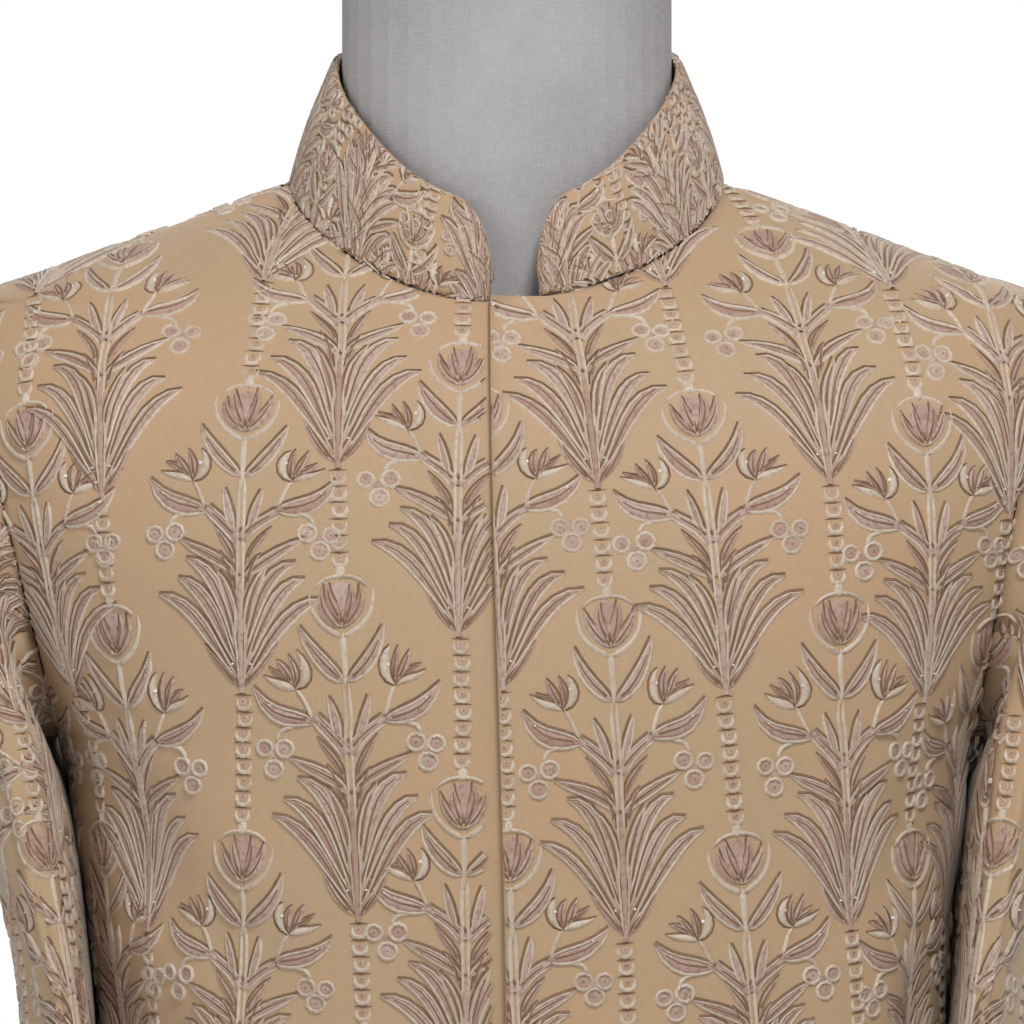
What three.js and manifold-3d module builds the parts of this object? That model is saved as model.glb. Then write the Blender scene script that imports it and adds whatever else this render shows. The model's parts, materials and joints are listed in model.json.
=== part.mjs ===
// A prince coat on a limbless dress form, in millimetres with +Z up.
// The front faces -Y and the wearer's left is +X. The origin is the middle of the base's underside.
import * as THREE from 'three';
import { mergeVertices } from 'three/addons/utils/BufferGeometryUtils.js';
import Module from 'manifold-3d';

const wasm = await Module();
wasm.setup();

// Cloth
const clothWall = 2;
const seamGap = 0.3;

// Heights above the floor
const hemHeight = 710;
const underarmHeight = 1215;
const shoulderTipHeight = 1384;
const sideNeckHeight = 1430;

// Half widths on the front view
const sideNeckHalf = 83;
const shoulderTipHalf = 209;
const underarmHalf = 175;

// The coat's outside at each height: half width, then depth in front of and behind the side seam
const bodySections = [
  { height: 710, half: 186, front: 128, back: 132 },
  { height: 780, half: 184, front: 126, back: 131 },
  { height: 860, half: 178, front: 121, back: 127 },
  { height: 940, half: 167, front: 113, back: 114 },
  { height: 1010, half: 160, front: 110, back: 104 },
  { height: 1070, half: 160, front: 114, back: 102 },
  { height: 1115, half: 163, front: 118, back: 104 },
  { height: 1160, half: 167, front: 121.5, back: 107 },
  { height: 1215, half: 175, front: 124, back: 110 },
  { height: 1250, half: 190, front: 123.5, back: 111.5 },
  { height: 1280, half: 205, front: 120.5, back: 112 },
  { height: 1310, half: 218, front: 114.5, back: 112 },
  { height: 1340, half: 227, front: 104, back: 110.5 },
  { height: 1362, half: 225, front: 91, back: 107 },
  { height: 1374, half: 218, front: 81.5, back: 104 },
  { height: 1384, half: 209, front: 72, back: 100.5 },
  { height: 1395, half: 178.7, front: 60.5, back: 93 },
  { height: 1407, half: 146, front: 46.5, back: 83 },
  { height: 1418, half: 116, front: 31, back: 73 },
  { height: 1430, half: 83, front: 14, back: 60 },
];
const sectionPower = 2.4;

// How far the coat hangs to the wearer's left below the chest
const swayReach = 6;
const swayTop = 1381;
const swayBottom = 1100;

// The closing: the wearer's left front lies on the right one
const overlapEdge = 5.6;
const underlapReach = 18;
const overlapLift = 2.6;
const liftFadeStart = 20;
const liftFadeEnd = 70;

// Armhole and neckline, both cut in the sections
const armholeSteps = 12;
const armholeBow = 1.3;
const neckCurveNear = 1.8;
const neckCurveFar = 0.625;
const neckRows = [0.02, 0.15, 0.3, 0.5, 0.72, 0.9, 0.994];
const bodyRowHeights = [710, 770, 830, 890, 950, 1010, 1060, 1110, 1165];
const panelColumns = 10;

// Stand collar: height of its top edge round the neck, by turn from the front in degrees
const collarTopEdge = [
  { turn: 0, height: 1414 },
  { turn: 30, height: 1429 },
  { turn: 60, height: 1454 },
  { turn: 90, height: 1475 },
  { turn: 125, height: 1485 },
  { turn: 180, height: 1487 },
];
const collarTopHalf = 66.6;
const collarTopFront = 66;
const collarTopBack = 62.5;
const collarBulge = 1.5;
const collarLeftEnd = 12.5;
const collarRightEnd = 6;
const collarCornerWide = 17;
const collarCornerTall = 25;
const collarColumns = 60;
const collarCornerSteps = 5;
const collarRows = 5;
const collarTurnShare = 0.3;

// Sleeve rings from the shoulder to the cuff: the outer and inner points seen from the front,
// then half the width from front to back, how far the ring sits forward, and how much of the wrap
// round the body its inner side has
const sleeveRings = [
  { outer: 216, outerHeight: 1380, inner: 180, innerHeight: 1217, foreAft: 69, forward: 0, hug: 0 },
  { outer: 222, outerHeight: 1368, inner: 180.2, innerHeight: 1211, foreAft: 71, forward: 0, hug: 0 },
  { outer: 225, outerHeight: 1346, inner: 175.2, innerHeight: 1201, foreAft: 73, forward: 1, hug: 0.5 },
  { outer: 223, outerHeight: 1308, inner: 171.6, innerHeight: 1183, foreAft: 75, forward: 2, hug: 1 },
  { outer: 216, outerHeight: 1253, inner: 168.4, innerHeight: 1157, foreAft: 76, forward: 4, hug: 1 },
  { outer: 206, outerHeight: 1192, inner: 165.6, innerHeight: 1124, foreAft: 77, forward: 6, hug: 1 },
  { outer: 193, outerHeight: 1130, inner: 162.8, innerHeight: 1083, foreAft: 77, forward: 8, hug: 1 },
  { outer: 191, outerHeight: 1058, inner: 162.4, innerHeight: 1036, foreAft: 76, forward: 11, hug: 1 },
  { outer: 198, outerHeight: 968, inner: 168.5, innerHeight: 958, foreAft: 74, forward: 15, hug: 1 },
  { outer: 213, outerHeight: 884, inner: 180.5, innerHeight: 878, foreAft: 72, forward: 19, hug: 1 },
  { outer: 223, outerHeight: 822, inner: 188, innerHeight: 818, foreAft: 70, forward: 22, hug: 1 },
  { outer: 229, outerHeight: 773, inner: 192, innerHeight: 770, foreAft: 68, forward: 24, hug: 1 },
];
const sleevePower = 2.3;
const sleeveSeamStep = 8;
const sleeveWrap = 9;
const sleeveFlatNarrow = 40;
const sleeveFlatWide = 130;

// Dress form: linen torso with a neck, a cap, a pole and a round base
const formBottom = 750;
const formClearance = 6.5;
const formArmHalf = 172;
const formSides = 40;
const neckHalf = 63.5;
const neckDepth = 58;
const neckFoot = 1370;
const neckTop = 1535;
const capHeight = 12;
const capOverhang = 3;
const poleRadius = 16;
const flangeRadius = 48;
const flangeHeight = 8;
const baseRadius = 205;
const baseEdge = 6;
const baseHubRadius = 27;
const baseHubHeight = 60;
const socketFloor = 10;
const roundSides = 40;
const formRows = [750, 800, 860, 940, 1010, 1070, 1115, 1160, 1215, 1250, 1290, 1325, 1350];
const formSlopeStart = 1290;
const formSlopeEnd = 1350;
const formShoulders = [
  { height: 1366, half: 168, front: 73, back: 91 },
  { height: 1378, half: 157, front: 62, back: 84 },
  { height: 1390, half: 138, front: 50, back: 76 },
  { height: 1402, half: 108, front: 36, back: 66 },
  { height: 1412, half: 78, front: 22, back: 50 },
];
const capRows = [
  { rise: 0, grow: 0 },
  { rise: 0.2, grow: capOverhang },
  { rise: 0.6, grow: capOverhang },
  { rise: 0.85, grow: 0 },
  { rise: 1, grow: -8 },
];

function material(name, colour, roughness, metalness) {
  return new THREE.MeshStandardMaterial({ name, color: new THREE.Color(...colour), roughness, metalness });
}

const cloth = material('cloth', [0.5, 0.34, 0.19], 0.62, 0);
const linen = material('linen', [0.44, 0.44, 0.45], 0.9, 0);
const steel = material('steel', [0.05, 0.05, 0.055], 0.42, 0.6);

// A smooth curve through one column of a table
function tableValue(rows, key, column, at) {
  const last = rows.length - 1;
  if (at <= rows[0][key]) return rows[0][column];
  if (at >= rows[last][key]) return rows[last][column];
  let low = 0;
  while (rows[low + 1][key] < at) low += 1;
  const slope = (index) => {
    const before = rows[Math.max(index - 1, 0)];
    const after = rows[Math.min(index + 1, last)];
    return (after[column] - before[column]) / (after[key] - before[key]);
  };
  const span = rows[low + 1][key] - rows[low][key];
  const t = (at - rows[low][key]) / span;
  const rise = rows[low + 1][column] - rows[low][column];
  const curve = slope(low) * span * t * (1 - t) * (1 - t) - slope(low + 1) * span * t * t * (1 - t);
  return rows[low][column] + rise * t * t * (3 - 2 * t) + curve;
}

function smoothStep(from, to, value) {
  return THREE.MathUtils.smoothstep(value, from, to);
}

// Half of a rounded section: 0 is the middle of the front or back, a right angle is the side seam
function sectionPoint(half, depth, angle, power) {
  const sine = Math.sin(angle);
  const cosine = Math.cos(angle);
  const reach = (Math.abs(sine) ** power + Math.abs(cosine) ** power) ** (-1 / power);
  return { across: half * sine * reach, out: depth * cosine * reach };
}

function angleForAcross(across, half, power) {
  const share = Math.min(Math.abs(across / half), 1) ** power;
  return Math.sign(across) * Math.atan2(share ** (1 / power), (1 - share) ** (1 / power));
}

function swayAt(height) {
  return swayReach * (1 - smoothStep(swayBottom, swayTop, height));
}

function liftAt(across) {
  return overlapLift * (1 - smoothStep(liftFadeStart, liftFadeEnd, across));
}

// A point on the coat's outline. face is 'front' or 'back', side is 1 on the wearer's left
function outlinePoint(face, side, angle, height) {
  const half = tableValue(bodySections, 'height', 'half', height);
  const depth = tableValue(bodySections, 'height', face, height);
  const at = sectionPoint(half, depth, angle, sectionPower);
  return new THREE.Vector3(side * at.across + swayAt(height), face === 'front' ? -at.out : at.out, height);
}

function coatNormal(face, side, angle, height) {
  const step = 0.002;
  const rise = 0.5;
  const top = Math.min(height + rise, sideNeckHeight);
  const round = outlinePoint(face, side, angle + step, height);
  round.sub(outlinePoint(face, side, angle - step, height));
  const up = outlinePoint(face, side, angle, top).sub(outlinePoint(face, side, angle, top - 2 * rise));
  const turned = (face === 'front' ? 1 : -1) * side;
  return round.cross(up).normalize().multiplyScalar(turned);
}

// The same point on the cloth, which is lifted where one front lies on the other
function coatPoint(face, side, angle, height) {
  const point = outlinePoint(face, side, angle, height);
  if (face === 'back' || side < 0) return point;
  return point.addScaledVector(coatNormal(face, side, angle, height), liftAt(point.x - swayAt(height)));
}

// Boundaries of a front or back row, as angles
const frontNeckHeight = armholeHeight(1);

function armholeHeight(step) {
  const middle = (shoulderTipHeight + underarmHeight) / 2;
  const reach = (shoulderTipHeight - underarmHeight) / 2;
  return middle + reach * Math.cos(Math.PI * step / armholeSteps);
}

function armholeAngle(height) {
  const half = tableValue(bodySections, 'height', 'half', height);
  const climb = (height - underarmHeight) / (shoulderTipHeight - underarmHeight);
  if (climb <= 0 || climb >= 1) return Math.PI / 2;
  const across = underarmHalf + (shoulderTipHalf - underarmHalf) * climb ** armholeBow;
  return angleForAcross(across, half, sectionPower);
}

function neckAcross(height) {
  const rise = (height - frontNeckHeight) / (sideNeckHeight - frontNeckHeight);
  return sideNeckHalf * (1 - (1 - rise) ** (1 / neckCurveFar)) ** (1 / neckCurveNear);
}

function frontStart(side, height) {
  const half = tableValue(bodySections, 'height', 'half', height);
  if (height > frontNeckHeight + 0.01) return angleForAcross(neckAcross(height), half, sectionPower);
  const edge = side > 0 ? overlapEdge : underlapReach;
  return angleForAcross(-edge, half, sectionPower);
}

// A closed wall from a grid of outer and inner points
function wallGeometry(grid) {
  const rows = grid.length;
  const columns = grid[0].length;
  const positions = [];
  for (const layer of ['outer', 'inner']) {
    for (const row of grid) {
      for (const cell of row) positions.push(...cell[layer].toArray());
    }
  }
  const count = rows * columns;
  const at = (row, column, layer) => layer * count + row * columns + column;
  const faces = [];
  const quad = (a, b, c, d) => faces.push(a, b, c, a, c, d);
  for (let row = 0; row + 1 < rows; row += 1) {
    for (let column = 0; column + 1 < columns; column += 1) {
      quad(at(row, column, 0), at(row, column + 1, 0), at(row + 1, column + 1, 0), at(row + 1, column, 0));
      quad(at(row, column, 1), at(row + 1, column, 1), at(row + 1, column + 1, 1), at(row, column + 1, 1));
    }
    quad(at(row, 0, 0), at(row + 1, 0, 0), at(row + 1, 0, 1), at(row, 0, 1));
    const end = columns - 1;
    quad(at(row, end, 0), at(row, end, 1), at(row + 1, end, 1), at(row + 1, end, 0));
  }
  for (let column = 0; column + 1 < columns; column += 1) {
    quad(at(0, column, 0), at(0, column, 1), at(0, column + 1, 1), at(0, column + 1, 0));
    const end = rows - 1;
    quad(at(end, column, 1), at(end, column, 0), at(end, column + 1, 0), at(end, column + 1, 1));
  }
  return solidGeometry(positions, faces);
}

// A closed geometry whose faces point outwards
function solidGeometry(positions, faces) {
  const corner = [new THREE.Vector3(), new THREE.Vector3(), new THREE.Vector3()];
  let volume = 0;
  for (let index = 0; index < faces.length; index += 3) {
    for (let turn = 0; turn < 3; turn += 1) corner[turn].fromArray(positions, 3 * faces[index + turn]);
    volume += corner[0].dot(corner[1].clone().cross(corner[2])) / 6;
  }
  if (volume < 0) faces.reverse();
  const geometry = new THREE.BufferGeometry();
  geometry.setAttribute('position', new THREE.Float32BufferAttribute(positions, 3));
  geometry.setIndex(faces);
  geometry.computeVertexNormals();
  return geometry;
}

function wallCell(point, normal, wall = clothWall) {
  return { outer: point, inner: point.clone().addScaledVector(normal, -wall) };
}

// Front and back panels
function rowHeights() {
  const heights = [...bodyRowHeights];
  for (let step = armholeSteps; step >= 0; step -= 1) heights.push(armholeHeight(step));
  for (const rise of neckRows) heights.push(THREE.MathUtils.lerp(frontNeckHeight, sideNeckHeight, rise));
  return heights.sort((low, high) => low - high);
}

function panelGeometry(face, side) {
  const heights = rowHeights();
  if (face === 'back') heights[heights.length - 1] = sideNeckHeight;
  const grid = heights.map((height) => {
    const half = tableValue(bodySections, 'height', 'half', height);
    const depth = tableValue(bodySections, 'height', face, height);
    const start = face === 'front' ? frontStart(side, height) : seamGap / 2 / half;
    const armEdge = height > underarmHeight && height < shoulderTipHeight;
    const end = armEdge ? armholeAngle(height) : Math.PI / 2 - seamGap / 2 / depth;
    const row = [];
    for (let column = 0; column <= panelColumns; column += 1) {
      const angle = THREE.MathUtils.lerp(start, end, column / panelColumns);
      row.push(wallCell(coatPoint(face, side, angle, height), coatNormal(face, side, angle, height)));
    }
    return row;
  });
  return wallGeometry(grid);
}

// The panels' top edges, where the collar is sewn, each as the corners that its panel has there
function neckCorner(face, side, angle, height) {
  const point = coatPoint(face, side, angle, height);
  const across = Math.abs(angle) > Math.PI / 2 - 0.001 ? sideNeckHalf : side * point.x;
  return { across, point, normal: coatNormal(face, side, angle, height) };
}

function neckEdge(side) {
  const heights = [frontNeckHeight];
  for (const rise of neckRows) heights.push(THREE.MathUtils.lerp(frontNeckHeight, sideNeckHeight, rise));
  const front = heights.map((height) => neckCorner('front', side, frontStart(side, height), height));
  const seamAngle = Math.PI / 2;
  const back = [];
  for (let column = panelColumns; column >= 0; column -= 1) {
    back.push(neckCorner('back', side, seamAngle * column / panelColumns, sideNeckHeight));
  }
  return { front, back };
}

const neckEdges = { left: neckEdge(1), right: neckEdge(-1) };

// A point of the neckline and its wall direction
function neckline(turn) {
  const edge = turn < 0 ? neckEdges.right : neckEdges.left;
  const swing = Math.abs(turn);
  const across = sideNeckHalf * Math.sin(swing);
  const corners = swing < Math.PI / 2 ? [...edge.front, edge.back[0]] : edge.back;
  const rising = swing < Math.PI / 2 ? 1 : -1;
  let low = 0;
  while (low + 2 < corners.length && rising * (corners[low + 1].across - across) < 0) low += 1;
  const [before, after] = [corners[low], corners[low + 1]];
  const span = after.across - before.across;
  const t = Math.abs(span) < 1e-6 ? 0 : THREE.MathUtils.clamp((across - before.across) / span, 0, 1);
  return {
    point: before.point.clone().lerp(after.point, t),
    normal: before.normal.clone().lerp(after.normal, t).normalize(),
  };
}

function collarTop(turn) {
  const swing = Math.abs(turn);
  const degrees = THREE.MathUtils.radToDeg(swing);
  const height = tableValue(collarTopEdge, 'turn', 'height', degrees);
  const across = collarTopHalf * Math.sin(turn);
  const cosine = Math.cos(swing);
  const depth = cosine > 0 ? collarTopFront : collarTopBack;
  return new THREE.Vector3(across, -depth * cosine, height);
}

// How much of its full height the collar keeps near a rounded front corner
function collarShare(turn, end) {
  const fromEnd = sideNeckHalf * (Math.abs(turn) - end);
  if (fromEnd >= collarCornerWide) return 1;
  const full = collarTop(turn).distanceTo(neckline(turn).point);
  const drop = 1 - Math.sqrt(Math.max(0, 1 - (1 - fromEnd / collarCornerWide) ** 2));
  return 1 - drop * collarCornerTall / full;
}

function collarPoint(turn, climb) {
  const seam = neckline(turn).point;
  const top = collarTop(turn);
  const point = seam.clone().lerp(top, climb);
  const outwards = new THREE.Vector3(Math.sin(turn), -Math.cos(turn), 0);
  return point.addScaledVector(outwards, collarBulge * Math.sin(Math.PI * climb));
}

function collarNormal(turn, climb) {
  const step = 0.01;
  const round = collarPoint(turn + step, climb).sub(collarPoint(turn - step, climb));
  const up = collarPoint(turn, climb + step).sub(collarPoint(turn, climb - step));
  return round.cross(up).normalize();
}

function collarGeometry() {
  const leftEnd = Math.asin(collarLeftEnd / sideNeckHalf);
  const rightEnd = Math.asin(collarRightEnd / sideNeckHalf);
  const cut = collarCornerWide / sideNeckHalf;
  const turns = [];
  for (let step = 0; step < collarCornerSteps; step += 1) {
    turns.push(leftEnd + cut * (1 - Math.cos(Math.PI / 2 * step / collarCornerSteps)));
  }
  const first = leftEnd + cut;
  const last = 2 * Math.PI - rightEnd - cut;
  const plain = collarColumns - 2 * collarCornerSteps;
  for (let step = 0; step <= plain; step += 1) turns.push(THREE.MathUtils.lerp(first, last, step / plain));
  for (let step = collarCornerSteps - 1; step >= 0; step -= 1) {
    turns.push(2 * Math.PI - rightEnd - cut * (1 - Math.cos(Math.PI / 2 * step / collarCornerSteps)));
  }
  const grid = turns.map((unrolled) => {
    const turn = unrolled > Math.PI ? unrolled - 2 * Math.PI : unrolled;
    const share = collarShare(turn, turn > 0 ? leftEnd : rightEnd);
    const seam = neckline(turn);
    const column = [];
    for (let row = 0; row <= collarRows; row += 1) {
      const climb = share * row / collarRows;
      const blend = smoothStep(0, collarTurnShare, climb);
      const normal = seam.normal.clone().lerp(collarNormal(turn, climb), blend).normalize();
      const point = collarPoint(turn, climb);
      const away = collarPoint(turn, 0.05).sub(seam.point);
      away.addScaledVector(seam.normal, -away.dot(seam.normal)).normalize();
      if (row === 0) point.addScaledVector(away, seamGap);
      column.push(wallCell(point, normal));
    }
    return column;
  });
  return wallGeometry(grid);
}

// Sleeves: ring 0 is the armhole, just clear of the body, and the table gives the others
function armholeCell(side, step) {
  const face = step <= armholeSteps ? 'front' : 'back';
  const down = step <= armholeSteps ? step : 2 * armholeSteps - step;
  const height = armholeHeight(down);
  const angle = armholeAngle(height);
  const point = coatPoint(face, side, angle, height);
  const normal = coatNormal(face, side, angle, height);
  const along = armholeTangent(face, side, down);
  const away = normal.clone().cross(along).normalize();
  const middle = side * (underarmHalf + shoulderTipHalf) / 2;
  const towardsMiddle = new THREE.Vector3(middle, 0, armholeHeight(armholeSteps / 2)).sub(point);
  if (away.dot(towardsMiddle) < 0) away.negate();
  return { point: point.addScaledVector(away, seamGap), normal };
}

function armholeTangent(face, side, down) {
  if (down < 0.5 || down > armholeSteps - 0.5) return new THREE.Vector3(0, 1, 0);
  const reach = 0.4;
  const at = (step) => {
    const height = armholeHeight(step);
    return coatPoint(face, side, armholeAngle(height), height);
  };
  return at(down + reach).sub(at(down - reach)).normalize();
}

function ringPoint(ring, side, angle) {
  const cosine = Math.cos(angle);
  const sine = Math.sin(angle);
  const reach = (Math.abs(sine) ** sleevePower + Math.abs(cosine) ** sleevePower) ** (-1 / sleevePower);
  const outward = cosine * reach;
  const forward = sine * reach;
  const middle = (ring.outer + ring.inner) / 2;
  const middleHeight = (ring.outerHeight + ring.innerHeight) / 2;
  const breadth = Math.hypot(ring.outer - ring.inner, ring.outerHeight - ring.innerHeight);
  const flat = 1 - smoothStep(sleeveFlatNarrow, sleeveFlatWide, breadth);
  const hug = sleeveWrap * (flat + ring.hug * (1 - flat) * (1 - outward) / 2);
  const across = middle + outward * (ring.outer - ring.inner) / 2 - hug * forward * forward;
  const height = middleHeight + outward * (ring.outerHeight - ring.innerHeight) / 2;
  return new THREE.Vector3(side * across + swayAt(height), -ring.forward - forward * ring.foreAft, height);
}

function sleeveGeometry(side, firstStep, lastStep) {
  const steps = 2 * armholeSteps;
  const ringCount = sleeveRings.length;
  const inset = 0.5 * seamGap;
  const pointAt = (ring, angle) => ringPoint(sleeveRings[ring], side, angle);
  const grid = [];
  for (let ring = -1; ring < ringCount; ring += 1) {
    const row = [];
    for (let step = firstStep; step <= lastStep; step += 1) {
      const turned = (step + steps) % steps;
      const angle = 2 * Math.PI * turned / steps;
      const inwards = step === firstStep ? 1 : step === lastStep ? -1 : 0;
      if (ring < 0) {
        const cell = armholeCell(side, turned);
        const next = armholeCell(side, (turned + 1) % steps).point;
        const around = next.sub(armholeCell(side, (turned - 1 + steps) % steps).point).normalize();
        row.push(wallCell(cell.point.addScaledVector(around, inset * inwards), cell.normal));
        continue;
      }
      const small = 0.02;
      const around = pointAt(ring, angle + small).sub(pointAt(ring, angle - small));
      const before = ring > 0 ? pointAt(ring - 1, angle) : armholeCell(side, turned).point;
      const after = pointAt(Math.min(ring + 1, ringCount - 1), angle);
      const normal = after.sub(before).cross(around).multiplyScalar(-side).normalize();
      const point = pointAt(ring, angle);
      point.addScaledVector(around.normalize(), inset * inwards);
      row.push(wallCell(point, normal));
    }
    grid.push(row);
  }
  return wallGeometry(grid);
}

// The dress form's torso and neck
function loftGeometry(rings) {
  const sides = rings[0].length;
  const positions = [];
  for (const ring of rings) {
    for (const point of ring) positions.push(...point.toArray());
  }
  const faces = [];
  for (let ring = 0; ring + 1 < rings.length; ring += 1) {
    for (let side = 0; side < sides; side += 1) {
      const next = (side + 1) % sides;
      const low = ring * sides;
      const high = low + sides;
      faces.push(low + side, low + next, high + next, low + side, high + next, high + side);
    }
  }
  for (const [ring, order] of [[0, 1], [rings.length - 1, -1]]) {
    const middle = new THREE.Vector3();
    for (const point of rings[ring]) middle.addScaledVector(point, 1 / sides);
    const centre = positions.length / 3;
    positions.push(...middle.toArray());
    for (let side = 0; side < sides; side += 1) {
      const here = ring * sides + side;
      const next = ring * sides + (side + 1) % sides;
      faces.push(...(order > 0 ? [centre, next, here] : [centre, here, next]));
    }
  }
  return solidGeometry(positions, faces);
}

function ovalRing(half, front, back, height, power) {
  const ring = [];
  for (let side = 0; side < formSides; side += 1) {
    const angle = 2 * Math.PI * side / formSides;
    const depth = Math.cos(angle) > 0 ? front : back;
    const at = sectionPoint(half, depth, angle, power);
    ring.push(new THREE.Vector3(at.across + swayAt(height), -at.out, height));
  }
  return ring;
}

function torsoGeometry() {
  const rings = formRows.map((height) => {
    const value = (column) => tableValue(bodySections, 'height', column, height);
    const half = Math.min(value('half') - formClearance, formArmHalf);
    const inwards = formClearance * (1 + smoothStep(formSlopeStart, formSlopeEnd, height));
    return ovalRing(half, value('front') - inwards, value('back') - inwards, height, sectionPower);
  });
  for (const row of formShoulders) {
    rings.push(ovalRing(row.half, row.front, row.back, row.height, sectionPower));
  }
  const neck = [neckFoot, neckTop].map((height) => ovalRing(neckHalf, neckDepth, neckDepth, height, 2));
  return joined(loftGeometry(rings), loftGeometry(neck));
}

function asManifold(geometry) {
  const bare = new THREE.BufferGeometry();
  bare.setAttribute('position', geometry.getAttribute('position'));
  bare.setIndex(geometry.getIndex());
  const merged = mergeVertices(bare, 1e-4);
  return new wasm.Manifold(new wasm.Mesh({
    numProp: 3,
    vertProperties: new Float32Array(merged.getAttribute('position').array),
    triVerts: new Uint32Array(merged.getIndex().array),
  }));
}

function joined(first, second) {
  const mesh = asManifold(first).add(asManifold(second)).getMesh();
  return solidGeometry(Array.from(mesh.vertProperties), Array.from(mesh.triVerts));
}

function capGeometry() {
  return loftGeometry(capRows.map((row) => {
    const height = neckTop + seamGap + capHeight * row.rise;
    return ovalRing(neckHalf + row.grow, neckDepth + row.grow, neckDepth + row.grow, height, 2);
  }));
}

function latheGeometry(profile) {
  const points = profile.map(([radius, height]) => new THREE.Vector2(radius, height));
  const lathe = new THREE.LatheGeometry(points, roundSides);
  lathe.rotateX(Math.PI / 2);
  lathe.deleteAttribute('normal');
  lathe.deleteAttribute('uv');
  const merged = mergeVertices(lathe, 1e-3);
  const index = merged.getIndex().array;
  const faces = [];
  for (let face = 0; face < index.length; face += 3) {
    const [a, b, c] = [index[face], index[face + 1], index[face + 2]];
    if (a !== b && b !== c && c !== a) faces.push(a, b, c);
  }
  return solidGeometry(Array.from(merged.getAttribute('position').array), faces);
}

function poleGeometry() {
  const top = formBottom - seamGap;
  const foot = socketFloor + seamGap;
  return latheGeometry([
    [0, foot],
    [poleRadius, foot],
    [poleRadius, top - flangeHeight - 30],
    [poleRadius + 6, top - flangeHeight],
    [flangeRadius, top - flangeHeight],
    [flangeRadius, top],
    [0, top],
  ]);
}

function baseGeometry() {
  const socket = poleRadius + seamGap;
  return latheGeometry([
    [0, 0],
    [baseRadius - 2, 0],
    [baseRadius, 2],
    [baseRadius, baseEdge],
    [baseRadius - 3, baseEdge + 3],
    [baseRadius * 0.6, baseEdge + 8],
    [baseHubRadius + 14, baseEdge + 13],
    [baseHubRadius + 3, baseEdge + 22],
    [baseHubRadius, baseHubHeight - 3],
    [baseHubRadius - 3, baseHubHeight],
    [socket, baseHubHeight],
    [socket, socketFloor],
    [0, socketFloor],
  ]);
}

const coatAndForm = new THREE.Group();

function addPiece(name, geometry, finish) {
  const mesh = new THREE.Mesh(geometry, finish);
  mesh.name = name;
  coatAndForm.add(mesh);
}

const seamFront = sleeveSeamStep;
const seamBack = 2 * armholeSteps - sleeveSeamStep;
for (const [word, side] of [['left', 1], ['right', -1]]) {
  addPiece(`front_${word}`, panelGeometry('front', side), cloth);
  addPiece(`back_${word}`, panelGeometry('back', side), cloth);
  addPiece(`sleeve_${word}_upper`, sleeveGeometry(side, -seamFront, seamFront), cloth);
  addPiece(`sleeve_${word}_under`, sleeveGeometry(side, seamFront, seamBack), cloth);
}
addPiece('collar', collarGeometry(), cloth);
addPiece('form_torso', torsoGeometry(), linen);
addPiece('form_neck_cap', capGeometry(), steel);
addPiece('form_pole', poleGeometry(), steel);
addPiece('form_base', baseGeometry(), steel);

export default coatAndForm;
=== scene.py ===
import json
import math

import bpy
import numpy as np
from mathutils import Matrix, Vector

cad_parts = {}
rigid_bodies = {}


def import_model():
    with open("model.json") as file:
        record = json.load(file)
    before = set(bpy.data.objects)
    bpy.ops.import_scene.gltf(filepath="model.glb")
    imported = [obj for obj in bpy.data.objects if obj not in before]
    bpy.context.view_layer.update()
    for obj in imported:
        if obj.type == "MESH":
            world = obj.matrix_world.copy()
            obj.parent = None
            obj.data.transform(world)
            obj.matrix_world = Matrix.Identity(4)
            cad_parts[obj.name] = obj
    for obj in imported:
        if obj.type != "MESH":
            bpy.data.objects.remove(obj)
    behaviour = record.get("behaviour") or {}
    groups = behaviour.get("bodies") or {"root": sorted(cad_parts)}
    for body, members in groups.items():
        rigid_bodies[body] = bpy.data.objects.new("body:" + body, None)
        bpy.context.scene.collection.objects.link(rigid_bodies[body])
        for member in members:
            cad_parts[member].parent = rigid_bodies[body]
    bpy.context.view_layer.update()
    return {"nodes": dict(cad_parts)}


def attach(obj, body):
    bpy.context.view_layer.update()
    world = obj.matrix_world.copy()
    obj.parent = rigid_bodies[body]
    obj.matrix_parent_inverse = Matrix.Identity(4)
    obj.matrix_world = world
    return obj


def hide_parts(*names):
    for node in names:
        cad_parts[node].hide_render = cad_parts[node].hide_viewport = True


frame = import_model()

mm = 0.001
rng = np.random.default_rng(7)
print("frame loaded:", len(frame["nodes"]), "nodes")

# Prince coat on a linen dress form. Lengths in the tables are millimetres, +Z up, front towards -Y,
# the wearer's left towards +X.


# Small helpers for curves and grids

def curveThrough(keys, values):
    keys, values = np.array(keys, float), np.array(values, float)
    slopes = np.empty_like(values)
    slopes[1:-1] = (values[2:] - values[:-2]) / (keys[2:] - keys[:-2])
    slopes[0] = (values[1] - values[0]) / (keys[1] - keys[0])
    slopes[-1] = (values[-1] - values[-2]) / (keys[-1] - keys[-2])

    def at(where):
        where = np.clip(where, keys[0], keys[-1])
        low = np.clip(np.searchsorted(keys, where, side="right") - 1, 0, len(keys) - 2)
        span = keys[low + 1] - keys[low]
        t = (where - keys[low]) / span
        rise = values[low + 1] - values[low]
        bend = slopes[low] * span * t * (1 - t) ** 2 - slopes[low + 1] * span * t * t * (1 - t)
        return values[low] + rise * t * t * (3 - 2 * t) + bend
    return at


def smoothStep(low, high, value):
    t = np.clip((value - low) / (high - low), 0, 1)
    return t * t * (3 - 2 * t)


def unit(vectors):
    length = np.linalg.norm(vectors, axis=-1, keepdims=True)
    return vectors / np.maximum(length, 1e-9)


def gridNormals(points):
    alongRows = np.gradient(points, axis=0)
    alongColumns = np.gradient(points, axis=1)
    return unit(np.cross(alongColumns, alongRows))


# Coat body

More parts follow.
